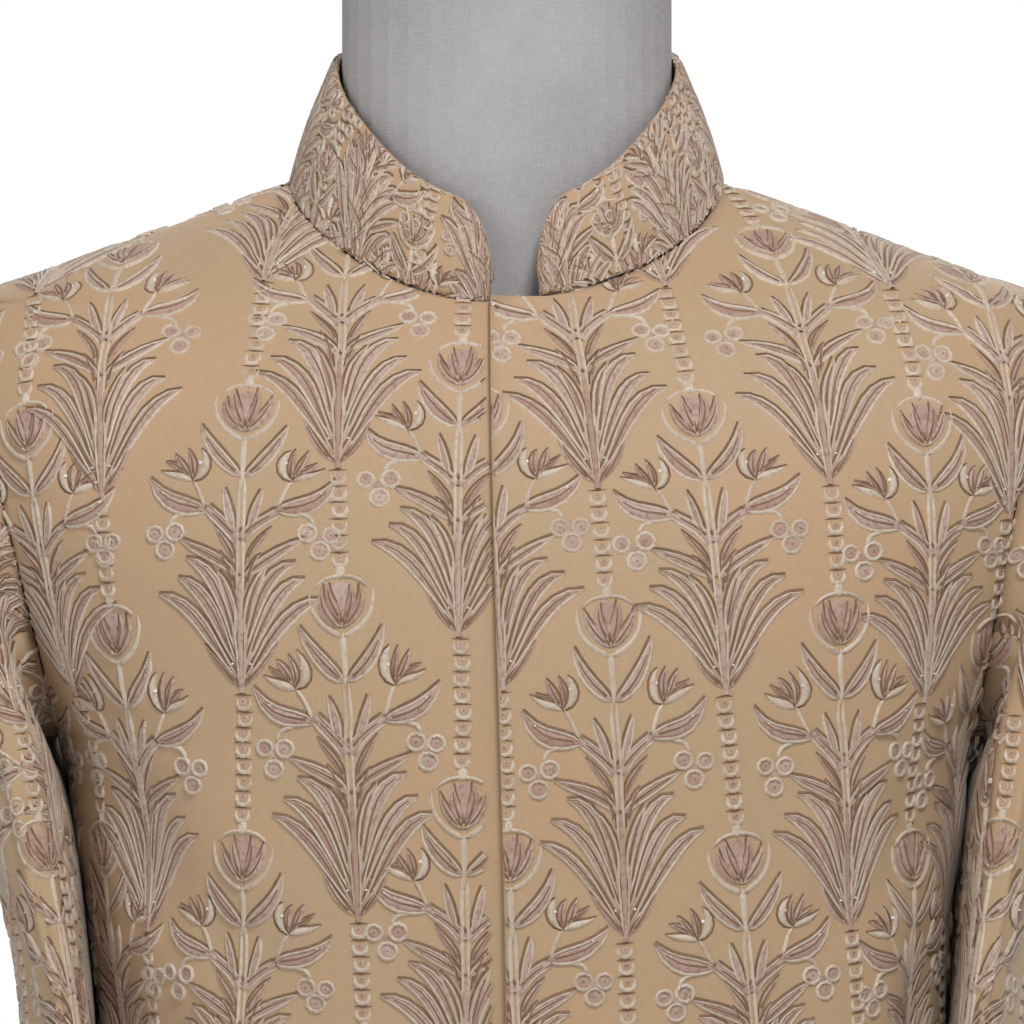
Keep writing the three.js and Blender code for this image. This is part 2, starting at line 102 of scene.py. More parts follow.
coat = {
    "wall": 2.0,
    "height": [710, 780, 860, 940, 1010, 1070, 1115, 1160, 1215, 1250,
               1280, 1310, 1340, 1362, 1374, 1384, 1395, 1407, 1418, 1430],
    "half": [186, 184, 178, 167, 160, 160, 163, 167, 175, 190,
             205, 218, 227, 225, 218, 209, 178.7, 146, 116, 83],
    "front": [128, 126, 121, 113, 110, 114, 118, 121.5, 124, 123.5,
              120.5, 114.5, 104, 91, 81.5, 72, 60.5, 46.5, 31, 14],
    "back": [132, 131, 127, 114, 104, 102, 104, 107, 110, 111.5,
             112, 112, 110.5, 107, 104, 100.5, 93, 83, 73, 60],
    "roundness": 2.4,
    "hem": 710, "underarm": 1215, "shoulderTip": 1384, "sideNeck": 1430,
    "underarmHalf": 175, "shoulderTipHalf": 209, "sideNeckHalf": 83,
    "armholeBow": 1.3, "armholeSteps": 12, "neckNear": 1.8, "neckFar": 0.625,
    "sway": 6, "swayTop": 1381, "swayBottom": 1100,
    "overlap": 5.6, "underlap": 18,   # how far the left front passes the middle, and the right one below it
    "lift": 2.6, "liftNear": 20, "liftFar": 70, "edgeLift": 1.8, "edgeLiftWidth": 9,
    "seamGap": 0.3, "seamRoll": 0.9, "seamRollWidth": 2.6, "armholeRoll": 0.3,
    "columns": 48, "lowerRows": 66, "armholeRows": 30, "neckRows": 20, "neckRowBow": 1.4,
}
coatHalf = curveThrough(coat["height"], coat["half"])
coatDepth = {face: curveThrough(coat["height"], coat[face]) for face in ("front", "back")}


def armholeHeight(step):
    middle = (coat["shoulderTip"] + coat["underarm"]) / 2
    reach = (coat["shoulderTip"] - coat["underarm"]) / 2
    return middle + reach * np.cos(math.pi * step / coat["armholeSteps"])


frontNeck = float(armholeHeight(1))   # the neckline's front is level with the armhole's first step


def swayAt(height):
    return coat["sway"] * (1 - smoothStep(coat["swayBottom"], coat["swayTop"], height))


def angleForAcross(across, half):
    share = np.clip(np.abs(across / half), 0, 1) ** coat["roundness"]
    power = 1 / coat["roundness"]
    return np.sign(across) * np.arctan2(share ** power, (1 - share) ** power)


def outlinePoint(face, side, angle, height):
    power = coat["roundness"]
    sine, cosine = np.sin(angle), np.cos(angle)
    reach = (np.abs(sine) ** power + np.abs(cosine) ** power) ** (-1 / power)
    across = side * coatHalf(height) * sine * reach + swayAt(height)
    out = coatDepth[face](height) * cosine * reach
    return np.stack([across, -out if face == "front" else out, height + 0 * angle], axis=-1)


def coatNormal(face, side, angle, height):
    top = np.minimum(height + 0.5, coat["sideNeck"])
    around = outlinePoint(face, side, angle + 0.002, height) - outlinePoint(face, side, angle - 0.002, height)
    up = outlinePoint(face, side, angle, top) - outlinePoint(face, side, angle, top - 1)
    return unit(np.cross(around, up)) * ((1 if face == "front" else -1) * side)


def coatPoint(face, side, angle, height):
    point = outlinePoint(face, side, angle, height)
    if face == "back" or side < 0:
        return point
    across = point[..., 0] - swayAt(height)
    lift = coat["lift"] * (1 - smoothStep(coat["liftNear"], coat["liftFar"], across))
    lift += coat["edgeLift"] * np.exp(-((across + coat["overlap"]) / coat["edgeLiftWidth"]) ** 2)
    return point + coatNormal(face, side, angle, height) * lift[..., None]


def armholeAngle(height):
    climb = (height - coat["underarm"]) / (coat["shoulderTip"] - coat["underarm"])
    inside = np.clip(climb, 0, 1)
    wider = coat["shoulderTipHalf"] - coat["underarmHalf"]
    across = coat["underarmHalf"] + wider * inside ** coat["armholeBow"]
    angle = angleForAcross(across, coatHalf(height))
    return np.where((climb <= 0) | (climb >= 1), math.pi / 2, angle)


def neckAcross(height):
    rise = np.clip((height - frontNeck) / (coat["sideNeck"] - frontNeck), 0, 1)
    return coat["sideNeckHalf"] * (1 - (1 - rise) ** (1 / coat["neckFar"])) ** (1 / coat["neckNear"])


def panelHeights():
    lower = np.linspace(coat["hem"], coat["underarm"], coat["lowerRows"])
    armhole = np.linspace(coat["underarm"], frontNeck, coat["armholeRows"])
    rises = np.linspace(0, 1, coat["neckRows"]) ** coat["neckRowBow"]
    neck = frontNeck + (coat["sideNeck"] - frontNeck) * np.minimum(rises, 0.998)
    neck[np.argmin(np.abs(neck - coat["shoulderTip"]))] = coat["shoulderTip"]
    return np.concatenate([lower, armhole[1:], neck[1:]])


# Creases of the hanging cloth: from and to are places on the front or back, as
# across and height, then half the trough's width and its depth
creases = {
    ("front", -1): [
        {"from": (168, 1236), "to": (96, 1120), "width": 15, "depth": 3.2},
        {"from": (150, 1205), "to": (120, 1050), "width": 12, "depth": 3.0},
        {"from": (160, 1130), "to": (88, 985), "width": 18, "depth": 3.4},
        {"from": (70, 1075), "to": (58, 900), "width": 22, "depth": 2.2},
        {"from": (118, 960), "to": (126, 735), "width": 24, "depth": 4.2},
        {"from": (52, 880), "to": (46, 712), "width": 20, "depth": 3.0},
        {"from": (205, 1345), "to": (168, 1262), "width": 13, "depth": 1.8},
        {"from": (163, 1188), "to": (150, 1080), "width": 6, "depth": 3.2},
        {"from": (150, 1168), "to": (141, 1065), "width": 6, "depth": 2.8},
    ],
    ("front", 1): [
        {"from": (170, 1232), "to": (110, 1140), "width": 14, "depth": 3.0},
        {"from": (154, 1200), "to": (134, 1035), "width": 13, "depth": 3.2},
        {"from": (152, 1105), "to": (72, 1000), "width": 16, "depth": 2.8},
        {"from": (84, 1040), "to": (76, 868), "width": 20, "depth": 2.0},
        {"from": (126, 930), "to": (140, 722), "width": 22, "depth": 4.0},
        {"from": (62, 845), "to": (70, 712), "width": 19, "depth": 3.2},
        {"from": (206, 1340), "to": (172, 1270), "width": 12, "depth": 1.6},
        {"from": (165, 1180), "to": (153, 1085), "width": 6, "depth": 3.0},
        {"from": (151, 1160), "to": (143, 1060), "width": 6, "depth": 2.6},
    ],
    ("back", -1): [
        {"from": (172, 1240), "to": (104, 1150), "width": 15, "depth": 3.0},
        {"from": (150, 1190), "to": (126, 1040), "width": 13, "depth": 3.0},
        {"from": (30, 1030), "to": (120, 985), "width": 17, "depth": 3.0},
        {"from": (44, 1120), "to": (138, 1075), "width": 14, "depth": 2.2},
        {"from": (96, 940), "to": (108, 716), "width": 24, "depth": 4.4},
        {"from": (150, 900), "to": (156, 740), "width": 18, "depth": 2.6},
        {"from": (90, 1345), "to": (150, 1275), "width": 18, "depth": 1.8},
    ],
    ("back", 1): [
        {"from": (170, 1245), "to": (118, 1160), "width": 14, "depth": 2.8},
        {"from": (148, 1180), "to": (130, 1020), "width": 14, "depth": 3.2},
        {"from": (24, 1010), "to": (128, 1000), "width": 16, "depth": 2.8},
        {"from": (60, 1100), "to": (144, 1062), "width": 13, "depth": 2.4},
        {"from": (84, 925), "to": (94, 714), "width": 22, "depth": 4.0},
        {"from": (140, 915), "to": (158, 730), "width": 19, "depth": 3.0},
        {"from": (96, 1340), "to": (158, 1284), "width": 17, "depth": 1.6},
    ],
}


creaseForm = {
    "bow": 0.35,     # how far a crease bends sideways, as a share of its width
    "ridge": 0.4, "ridgeAway": 1.9,   # the low ridge on both sides of the trough
    "fadeIn": (-0.08, 0.3), "fadeOut": (0.62, 1.1),
}


def creaseDepth(across, height, rows):
    total = np.zeros_like(across)
    for row in rows:
        start, end = np.array(row["from"], float), np.array(row["to"], float)
        along = end - start
        length = np.linalg.norm(along)
        t = ((across - start[0]) * along[0] + (height - start[1]) * along[1]) / length ** 2
        away = ((across - start[0]) * along[1] - (height - start[1]) * along[0]) / length
        away = away + row["width"] * creaseForm["bow"] * np.sin(math.pi * np.clip(t, 0, 1))
        fade = smoothStep(*creaseForm["fadeIn"], t) * (1 - smoothStep(*creaseForm["fadeOut"], t))
        trough = np.exp(-(away / row["width"]) ** 2)
        besides = np.abs(away) - creaseForm["ridgeAway"] * row["width"]
        ridge = creaseForm["ridge"] * np.exp(-(besides / row["width"]) ** 2)
        total += row["depth"] * fade * (ridge - trough)
    return total


def rolledEdge(distance, deep=None):
    return (coat["seamRoll"] if deep is None else deep) * np.exp(-(distance / coat["seamRollWidth"]) ** 2)


def lengthAcross(points):
    steps = np.linalg.norm(np.diff(points, axis=1), axis=-1)
    return np.concatenate([np.zeros((len(points), 1)), np.cumsum(steps, axis=1)], axis=1)


def lengthAlong(points):
    return lengthAcross(points.transpose(1, 0, 2)).T


def panelGrid(face, side):
    heights = panelHeights()
    half, depth = coatHalf(heights), coatDepth[face](heights)
    if face == "front":
        edge = coat["overlap"] if side > 0 else coat["underlap"]
        start = np.where(heights > frontNeck + 0.01, angleForAcross(neckAcross(heights), half),
                         angleForAcross(-edge + 0 * heights, half))
    else:
        start = coat["seamGap"] / 2 / half
        heights = heights.copy()
        heights[-1] = coat["sideNeck"]
    end = np.where((heights > coat["underarm"]) & (heights < coat["shoulderTip"]), armholeAngle(heights),
                   math.pi / 2 - coat["seamGap"] / 2 / depth)
    share = np.linspace(0, 1, coat["columns"] + 1)[None, :]
    angle = start[:, None] * (1 - share) + end[:, None] * share
    height = np.repeat(heights[:, None], coat["columns"] + 1, axis=1)
    points = coatPoint(face, side, angle, height)
    normals = coatNormal(face, side, angle, height)
    across = side * (points[..., 0] - swayAt(height))
    out = creaseDepth(across, height, creases[(face, side)])
    fromStart = lengthAcross(points)
    fromEnd = fromStart[:, -1:] - fromStart
    out = out * smoothStep(2, 26, fromEnd)
    out = out * smoothStep(4, 40, fromStart)
    atArmhole = smoothStep(coat["underarm"], coat["underarm"] + 25, height)
    out -= rolledEdge(fromEnd, coat["seamRoll"] + (coat["armholeRoll"] - coat["seamRoll"]) * atArmhole)
    if face == "back":
        out -= rolledEdge(fromStart)
    else:
        out -= rolledEdge(fromStart) * (height > frontNeck)
    return points + normals * out[..., None]


# Sleeves

sleeve = {
    "outer": [216, 222, 225, 223, 216, 206, 193, 191, 198, 213, 223, 229],
    "outerHeight": [1380, 1368, 1346, 1308, 1253, 1192, 1130, 1058, 968, 884, 822, 773],
    "inner": [180, 180.2, 175.2, 171.6, 168.4, 165.6, 162.8, 162.4, 168.5, 180.5, 188, 192],
    "innerHeight": [1217, 1211, 1201, 1183, 1157, 1124, 1083, 1036, 958, 878, 818, 770],
    "foreAft": [69, 71, 73, 75, 76, 77, 77, 76, 74, 72, 70, 68],
    "forward": [0, 0, 1, 2, 4, 6, 8, 11, 15, 19, 22, 24],
    "hug": [0, 0, 0.5, 1, 1, 1, 1, 1, 1, 1, 1, 1],
    "roundness": 2.3,
    "seamStep": 8, "steps": 24,   # places round the sleeve, from its outer line by the front
    "wrap": 9, "flatNarrow": 40, "flatWide": 130,
    "lead": 14,   # how far inside the armhole its cloth already points the body's way
    "rows": 78, "rowBow": 1.08, "upperColumns": 36, "underColumns": 18,
    "clothPerStep": 9.0,   # millimetres of cloth round the sleeve for each step
    "seamShare": 0.7,      # its long seams are rolled less than the body's
}
# From and to are a step round the sleeve and a length down it
sleeveCreases = {
    1: [
        {"from": (-5, 330), "to": (4, 372), "width": 11, "depth": 3.0},
        {"from": (-7, 402), "to": (-1, 350), "width": 10, "depth": 2.8},
        {"from": (-6, 455), "to": (5, 405), "width": 12, "depth": 2.4},
        {"from": (-7, 60), "to": (-3, 170), "width": 12, "depth": 3.0},
        {"from": (-2, 30), "to": (-2, 150), "width": 14, "depth": 1.8},
        {"from": (3, 40), "to": (5, 190), "width": 13, "depth": 2.4},
        {"from": (2, 520), "to": (4, 590), "width": 12, "depth": 2.0},
        {"from": (2.6, 80), "to": (3.8, 300), "width": 7, "depth": 3.2},
        {"from": (4.6, 60), "to": (5.2, 290), "width": 6.5, "depth": 3.6},
        {"from": (6.5, 50), "to": (6.8, 270), "width": 6.5, "depth": 3.0},
    ],
    -1: [
        {"from": (-6, 318), "to": (3, 360), "width": 12, "depth": 2.8},
        {"from": (-7, 388), "to": (2, 342), "width": 11, "depth": 3.0},
        {"from": (-5, 440), "to": (6, 400), "width": 11, "depth": 2.2},
        {"from": (-6, 55), "to": (-4, 185), "width": 13, "depth": 3.2},
        {"from": (0, 35), "to": (-1, 140), "width": 13, "depth": 1.6},
        {"from": (4, 50), "to": (5, 170), "width": 12, "depth": 2.6},
        {"from": (-2, 530), "to": (-4, 598), "width": 13, "depth": 2.2},
        {"from": (2.4, 86), "to": (3.5, 300), "width": 7, "depth": 3.2},
        {"from": (4.3, 64), "to": (5.0, 280), "width": 6.5, "depth": 3.4},
        {"from": (6.3, 52), "to": (6.7, 290), "width": 6.5, "depth": 3.2},
    ],
}


def armholeRing(side, steps, inside=0.0):
    half = sleeve["steps"] // 2
    down = np.where(steps <= half, steps, sleeve["steps"] - steps)
    height = armholeHeight(down)
    angle = armholeAngle(height)
    front = coatPoint("front", side, angle, height)
    back = coatPoint("back", side, angle, height)
    isFront = (steps <= half)[:, None]
    point = np.where(isFront, front, back)
    normal = np.where(isFront, coatNormal("front", side, angle, height),
                      coatNormal("back", side, angle, height))
    middleAcross = side * (coat["underarmHalf"] + coat["shoulderTipHalf"]) / 2
    middle = np.array([middleAcross, 0, armholeHeight(half // 2)])
    towards = middle - point
    towards -= normal * np.sum(towards * normal, axis=-1, keepdims=True)
    return point + unit(towards) * (coat["seamGap"] - inside)


def sleeveRing(row, side, steps):
    angle = 2 * math.pi * steps / sleeve["steps"]
    power = sleeve["roundness"]
    sine, cosine = np.sin(angle), np.cos(angle)
    reach = (np.abs(sine) ** power + np.abs(cosine) ** power) ** (-1 / power)
    outward, forward = cosine * reach, sine * reach
    outer, inner = sleeve["outer"][row], sleeve["inner"][row]
    high, low = sleeve["outerHeight"][row], sleeve["innerHeight"][row]
    breadth = math.hypot(outer - inner, high - low)
    flat = 1 - smoothStep(sleeve["flatNarrow"], sleeve["flatWide"], breadth)
    hug = sleeve["wrap"] * (flat + sleeve["hug"][row] * (1 - flat) * (1 - outward) / 2)
    across = (outer + inner) / 2 + outward * (outer - inner) / 2 - hug * forward ** 2
    height = (high + low) / 2 + outward * (high - low) / 2
    depth = -sleeve["forward"][row] - forward * sleeve["foreAft"][row]
    return np.stack([side * across + swayAt(height), depth, height], axis=-1)


def sleeveGrid(side, first, last, columns):
    steps = np.linspace(first, last, columns + 1)
    turned = np.mod(steps, sleeve["steps"])
    rings = [armholeRing(side, turned, sleeve["lead"]), armholeRing(side, turned)]
    rings += [sleeveRing(row, side, turned) for row in range(len(sleeve["outer"]))]
    rings = np.array(rings)
    between = np.linalg.norm(np.diff(rings, axis=0), axis=-1).mean(axis=1)
    places = np.concatenate([[0], np.cumsum(between)])
    shares = np.linspace(0, 1, sleeve["rows"] + 1) ** sleeve["rowBow"]
    at = places[1] + (places[-1] - places[1]) * shares
    points = np.stack([curveThrough(places, rings[:, :, axis].T[column])(at)
                       for axis in range(3) for column in range(columns + 1)])
    points = points.reshape(3, columns + 1, sleeve["rows"] + 1).transpose(2, 1, 0)
    normals = gridNormals(points) * side
    along = lengthAlong(points)
    perStep = sleeve["clothPerStep"]
    stepGrid = np.repeat(steps[None, :], len(points), axis=0) * perStep
    rows = [{**row, "from": (row["from"][0] * perStep, row["from"][1]),
             "to": (row["to"][0] * perStep, row["to"][1])} for row in sleeveCreases[side]]
    out = creaseDepth(stepGrid, along, rows)
    fromStart = lengthAcross(points)
    fromEnd = fromStart[:, -1:] - fromStart
    out = out * smoothStep(2, 18, np.minimum(fromStart, fromEnd)) * smoothStep(3, 30, along)
    out -= sleeve["seamShare"] * rolledEdge(fromStart) + sleeve["seamShare"] * rolledEdge(fromEnd)
    out -= rolledEdge(along, coat["armholeRoll"])
    return points + normals * out[..., None]


# Stand collar

collar = {
    "turn": [0, 30, 60, 90, 125, 180],
    "top": [1414, 1429, 1454, 1475, 1485, 1487],
    "topHalf": 66.6, "topFront": 66, "topBack": 62.5, "bulge": 1.5,
    "leftEnd": 12.5, "rightEnd": 6, "cornerWide": 17, "cornerTall": 25,
    "columns": 120, "cornerColumns": 12, "rows": 12,
}
collarTopHeight = curveThrough(collar["turn"], collar["top"])


def neckline(turn):
    swing = np.abs(turn)
    share = np.clip(np.sin(swing), 0, 1)
    rise = 1 - (1 - share ** coat["neckNear"]) ** coat["neckFar"]
    height = frontNeck + (coat["sideNeck"] - frontNeck) * rise
    inFront = swing < math.pi / 2
    height = np.where(inFront, height, coat["sideNeck"])
    across = coat["sideNeckHalf"] * share
    angle = angleForAcross(across, coatHalf(height))
    angle = np.where(np.abs(swing - math.pi / 2) < 1e-4, math.pi / 2, angle)
    halves = {}
    for side in (1, -1):
        halves[side] = np.where(inFront[..., None], coatPoint("front", side, angle, height),
                                coatPoint("back", side, angle, height))
    return np.where((turn < 0)[..., None], halves[-1], halves[1])


def collarTop(turn):
    swing = np.abs(turn)
    cosine = np.cos(swing)
    depth = np.where(cosine > 0, collar["topFront"], collar["topBack"])
    height = collarTopHeight(np.degrees(swing))
    return np.stack([collar["topHalf"] * np.sin(turn), -depth * cosine, height], axis=-1)


def collarPoint(turn, climb):
    seam, top = neckline(turn), collarTop(turn)
    outwards = np.stack([np.sin(turn), -np.cos(turn), 0 * turn], axis=-1)
    bulge = collar["bulge"] * np.sin(math.pi * climb)
    return seam + (top - seam) * climb[..., None] + outwards * bulge[..., None]


def collarGrid():
    leftEnd = math.asin(collar["leftEnd"] / coat["sideNeckHalf"])
    rightEnd = math.asin(collar["rightEnd"] / coat["sideNeckHalf"])
    cut = collar["cornerWide"] / coat["sideNeckHalf"]
    quarter = np.linspace(0, math.pi / 2, collar["cornerColumns"], endpoint=False)
    plainColumns = collar["columns"] - 2 * collar["cornerColumns"]
    plain = np.linspace(leftEnd + cut, 2 * math.pi - rightEnd - cut, plainColumns)
    unrolled = np.concatenate([leftEnd + cut * (1 - np.cos(quarter)), plain,
                               2 * math.pi - rightEnd - cut * (1 - np.cos(quarter[::-1]))])
    turn = np.where(unrolled > math.pi, unrolled - 2 * math.pi, unrolled)
    fromEnd = coat["sideNeckHalf"] * (np.abs(turn) - np.where(turn > 0, leftEnd, rightEnd))
    full = np.linalg.norm(collarTop(turn) - neckline(turn), axis=-1)
    drop = 1 - np.sqrt(np.clip(1 - np.clip(1 - fromEnd / collar["cornerWide"], 0, 1) ** 2, 0, 1))
    share = 1 - drop * collar["cornerTall"] / full
    climb = share[None, :] * np.linspace(0, 1, collar["rows"] + 1)[:, None]
    turns = np.repeat(turn[None, :], collar["rows"] + 1, axis=0)
    points = collarPoint(turns, climb)
    up = unit(points[1] - points[0])
    points[0] += up * coat["seamGap"]
    return points


# A cloth panel: a closed shell from its outer grid, with a rounded rim

clothPieces = {}
rimBulge = {"free": 0.3, "sewn": 0.05}   # a free edge as a share of the wall, a sewn one in millimetres


def rimLoop(rows, columns):
    loop = [(0, c) for c in range(columns)] + [(r, columns - 1) for r in range(1, rows)]
    loop += [(rows - 1, c) for c in range(columns - 2, -1, -1)]
    return loop + [(r, 0) for r in range(rows - 2, 0, -1)]


def shellMesh(name, points, outwardSign, freeEdges, wall):
    rows, columns = points.shape[:2]
    normals = gridNormals(points) * outwardSign
    inner = points - normals * wall
    loop = rimLoop(rows, columns)
    middle = []
    for row, column in loop:
        near = [(row + 1, column), (row - 1, column), (row, column + 1), (row, column - 1)]
        inside = [points[r, c] for r, c in near if 0 <= r < rows and 0 <= c < columns]
        edges = [("low", row == 0), ("high", row == rows - 1),
                 ("start", column == 0), ("end", column == columns - 1)]
        free = any(on and edge in freeEdges for edge, on in edges)
        away = points[row, column] - np.mean(inside, axis=0)
        away -= normals[row, column] * np.dot(away, normals[row, column])
        bulge = rimBulge["free"] * wall if free else rimBulge["sewn"]
        middle.append(points[row, column] - normals[row, column] * wall / 2 + unit(away) * bulge)
    vertices = np.concatenate([points.reshape(-1, 3), inner.reshape(-1, 3), np.array(middle)]) * mm
    count = rows * columns
    faces = []
    for r in range(rows - 1):
        for c in range(columns - 1):
            a, b = r * columns + c, (r + 1) * columns + c
            faces.append((a, a + 1, b + 1, b))
            faces.append((count + a, count + b, count + b + 1, count + a + 1))
    size = len(loop)
    for k in range(size):
        (r0, c0), (r1, c1) = loop[k], loop[(k + 1) % size]
        a, b = r0 * columns + c0, r1 * columns + c1
        ma, mb = 2 * count + k, 2 * count + (k + 1) % size
        faces.append((b, a, ma, mb))
        faces.append((mb, ma, count + a, count + b))
    if outwardSign < 0:
        faces = [tuple(reversed(face)) for face in faces]
    mesh = bpy.data.meshes.new(name)
    mesh.from_pydata(vertices.tolist(), [], faces)
    mesh.polygons.foreach_set("use_smooth", np.ones(len(faces), bool))
    mesh.update()
    return mesh


def addObject(name, mesh):
    obj = bpy.data.objects.new(name, mesh)
    bpy.context.scene.collection.objects.link(obj)
    return obj


def addCloth(name, node, points, outwardSign, freeEdges):
    mesh = shellMesh(name, points, outwardSign, freeEdges, coat["wall"])
    obj = addObject(name, mesh)
    clothPieces[name] = {"object": obj, "points": points, "sign": outwardSign}
    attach(obj, "root")
    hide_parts(node)
    return obj


for word, side in (("left", 1), ("right", -1)):
    addCloth(f"coat_front_{word}", f"front_{word}", panelGrid("front", side), side, ("low", "start"))
    addCloth(f"coat_back_{word}", f"back_{word}", panelGrid("back", side), -side, ("low",))
    upper = sleeveGrid(side, -sleeve["seamStep"], sleeve["seamStep"], sleeve["upperColumns"])
    under = sleeveGrid(side, sleeve["seamStep"], sleeve["steps"] - sleeve["seamStep"], sleeve["underColumns"])
    addCloth(f"coat_sleeve_{word}_upper", f"sleeve_{word}_upper", upper, side, ("high",))
    addCloth(f"coat_sleeve_{word}_under", f"sleeve_{word}_under", under, side, ("high",))
addCloth("coat_collar", "collar", collarGrid(), 1, ("start", "end", "high"))
print("cloth panels:", len(clothPieces))


# The cut cloth laid flat: each panel's grid gets a place on the table, in millimetres. The embroidery is
# laid out there and then follows the cloth.

flatten = {
    "everyRow": 3, "everyColumn": 3,
    "low": 1060, "high": 1375, "across": 90,   # the middle of the chest, which keeps its lie on the table
}


def spread(coarse, rowsAt, columnsAt, points):
    rows, columns = points.shape[:2]
    along, across = lengthAlong(points), lengthAcross(points)
    onColumns = np.empty((rows, len(columnsAt), 2))
    full = np.empty((rows, columns, 2))
    for k in range(2):
        for j, column in enumerate(columnsAt):
            onColumns[:, j, k] = np.interp(along[:, column], along[rowsAt, column], coarse[:, j, k])
        for row in range(rows):
            full[row, :, k] = np.interp(across[row], across[row, columnsAt], onColumns[row, :, k])
    return full


def layFlat(points, goal, near, cornerRows):
    rows, columns = points.shape[:2]
    rowsAt = np.concatenate([np.arange(0, rows, flatten["everyRow"]), cornerRows, [rows - 1]])
    rowsAt = np.unique(rowsAt.astype(int))
    columnsAt = np.unique(np.append(np.arange(0, columns, flatten["everyColumn"]), columns - 1))
    coarse = points[np.ix_(rowsAt, columnsAt)]
    r, c = coarse.shape[:2]
    faces = [(k * c + j, k * c + j + 1, (k + 1) * c + j + 1, (k + 1) * c + j)
             for k in range(r - 1) for j in range(c - 1)]
    mesh = bpy.data.meshes.new("flat pattern")
    mesh.from_pydata((coarse.reshape(-1, 3) * mm).tolist(), [], faces)
    pattern = addObject("flat pattern", mesh)
    bpy.context.view_layer.objects.active = pattern
    pattern.select_set(True)
    bpy.ops.object.mode_set(mode="EDIT")
    bpy.ops.mesh.select_all(action="SELECT")
    bpy.ops.uv.unwrap(method="MINIMUM_STRETCH", margin=0)
    bpy.ops.object.mode_set(mode="OBJECT")
    corners = np.zeros(len(mesh.loops) * 2)
    mesh.uv_layers.active.uv.foreach_get("vector", corners)
    index = np.zeros(len(mesh.loops), int)
    mesh.loops.foreach_get("vertex_index", index)
    flat = np.zeros((len(mesh.vertices), 2))
    flat[index] = corners.reshape(-1, 2)
    bpy.data.objects.remove(pattern)
    bpy.data.meshes.remove(mesh)
    flat = spread(flat.reshape(r, c, 2), rowsAt, columnsAt, points)
    onCoat = np.linalg.norm(np.diff(points, axis=0), axis=-1).sum()
    onTable = np.linalg.norm(np.diff(flat, axis=0), axis=-1).sum()
    flat *= onCoat / onTable
    # Turn it to lie along the goal's places, such as the closing straight up the table
    goal, have = goal[near], flat[near]
    a, b = have - have.mean(axis=0), goal - goal.mean(axis=0)
    if np.linalg.det(a.T @ b) < 0:
        flat[..., 0] *= -1
        have = flat[near]
        a = have - have.mean(axis=0)
    left, _, right = np.linalg.svd(a.T @ b)
    turned = left @ right
    return (flat - have.mean(axis=0)) @ turned + goal.mean(axis=0)


def flatByLength(points, startAcross):
    across = lengthAcross(points)
    along = lengthAlong(points)
    middle = across[:, startAcross:startAcross + 1]
    return np.stack([across - middle, along], axis=-1)


neckRow = coat["lowerRows"] + coat["armholeRows"] - 2
for word, side in (("left", 1), ("right", -1)):
    for face, sign in (("front", 1), ("back", -1)):
        points = clothPieces[f"coat_{face}_{word}"]["points"]
        upright = np.stack([sign * points[..., 0], points[..., 2]], axis=-1)
        near = (points[..., 2] > flatten["low"]) & (points[..., 2] < flatten["high"])
        near &= np.abs(points[..., 0]) < flatten["across"]
        corners = [coat["lowerRows"] - 1, neckRow, neckRow + 1]
        clothPieces[f"coat_{face}_{word}"]["flat"] = layFlat(points, upright, near, corners)
    for part, columns in (("upper", sleeve["upperColumns"]), ("under", sleeve["underColumns"])):
        points = clothPieces[f"coat_sleeve_{word}_{part}"]["points"]
        upright = flatByLength(points, columns // 2)
        upright[..., 0] *= -side
        upright[..., 1] = upright[-1:, :, 1] - upright[..., 1]   # up from the cuff
        near = np.ones(points.shape[:2], bool)
        clothPieces[f"coat_sleeve_{word}_{part}"]["flat"] = layFlat(points, upright, near, [])
piece = clothPieces["coat_collar"]
points = piece["points"]
middleRow = points[points.shape[0] // 2]
around = np.concatenate([[0], np.cumsum(np.linalg.norm(np.diff(middleRow, axis=0), axis=-1))])
acrossTable = np.repeat((around - around[-1] / 2)[None, :], len(points), axis=0)
piece["flat"] = np.stack([acrossTable, lengthAlong(points)], axis=-1)
print("panels laid flat")


# The surface that the thread lies on: the panel's face with one more row round it, which dips into the
# seams and turns down over the free edges

lieSizes = {"seamReach": 1.2, "seamDip": 1.3, "edgeReach": 2.2, "edgeOut": 0.65, "edgeDip": 2.0}


def withRing(grid, ring, axis, atEnd):
    ring = np.expand_dims(ring, axis)
    return np.concatenate([grid, ring] if atEnd else [ring, grid], axis=axis)


def grown(points, flat, normals, edges):
    for edge in ("low", "high", "start", "end"):
        free = edge in edges
        flip = edge in ("high", "end")
        axis = 0 if edge in ("low", "high") else 1
        first, second = (-1, -2) if flip else (0, 1)
        last, normal = np.take(points, first, axis=axis), np.take(normals, first, axis=axis)
        away = last - np.take(points, second, axis=axis)
        away = unit(away - normal * np.sum(away * normal, axis=-1, keepdims=True))
        reach = lieSizes["edgeReach"] if free else lieSizes["seamReach"]
        out = lieSizes["edgeOut"] if free else lieSizes["seamReach"]
        dip = lieSizes["edgeDip"] if free else lieSizes["seamDip"]
        ring = last + away * out - normal * dip
        flatLast = np.take(flat, first, axis=axis)
        flatRing = flatLast + unit(flatLast - np.take(flat, second, axis=axis)) * reach
        points = withRing(points, ring, axis, flip)
        flat = withRing(flat, flatRing, axis, flip)
        normals = withRing(normals, normal, axis, flip)
    return points, flat, normals


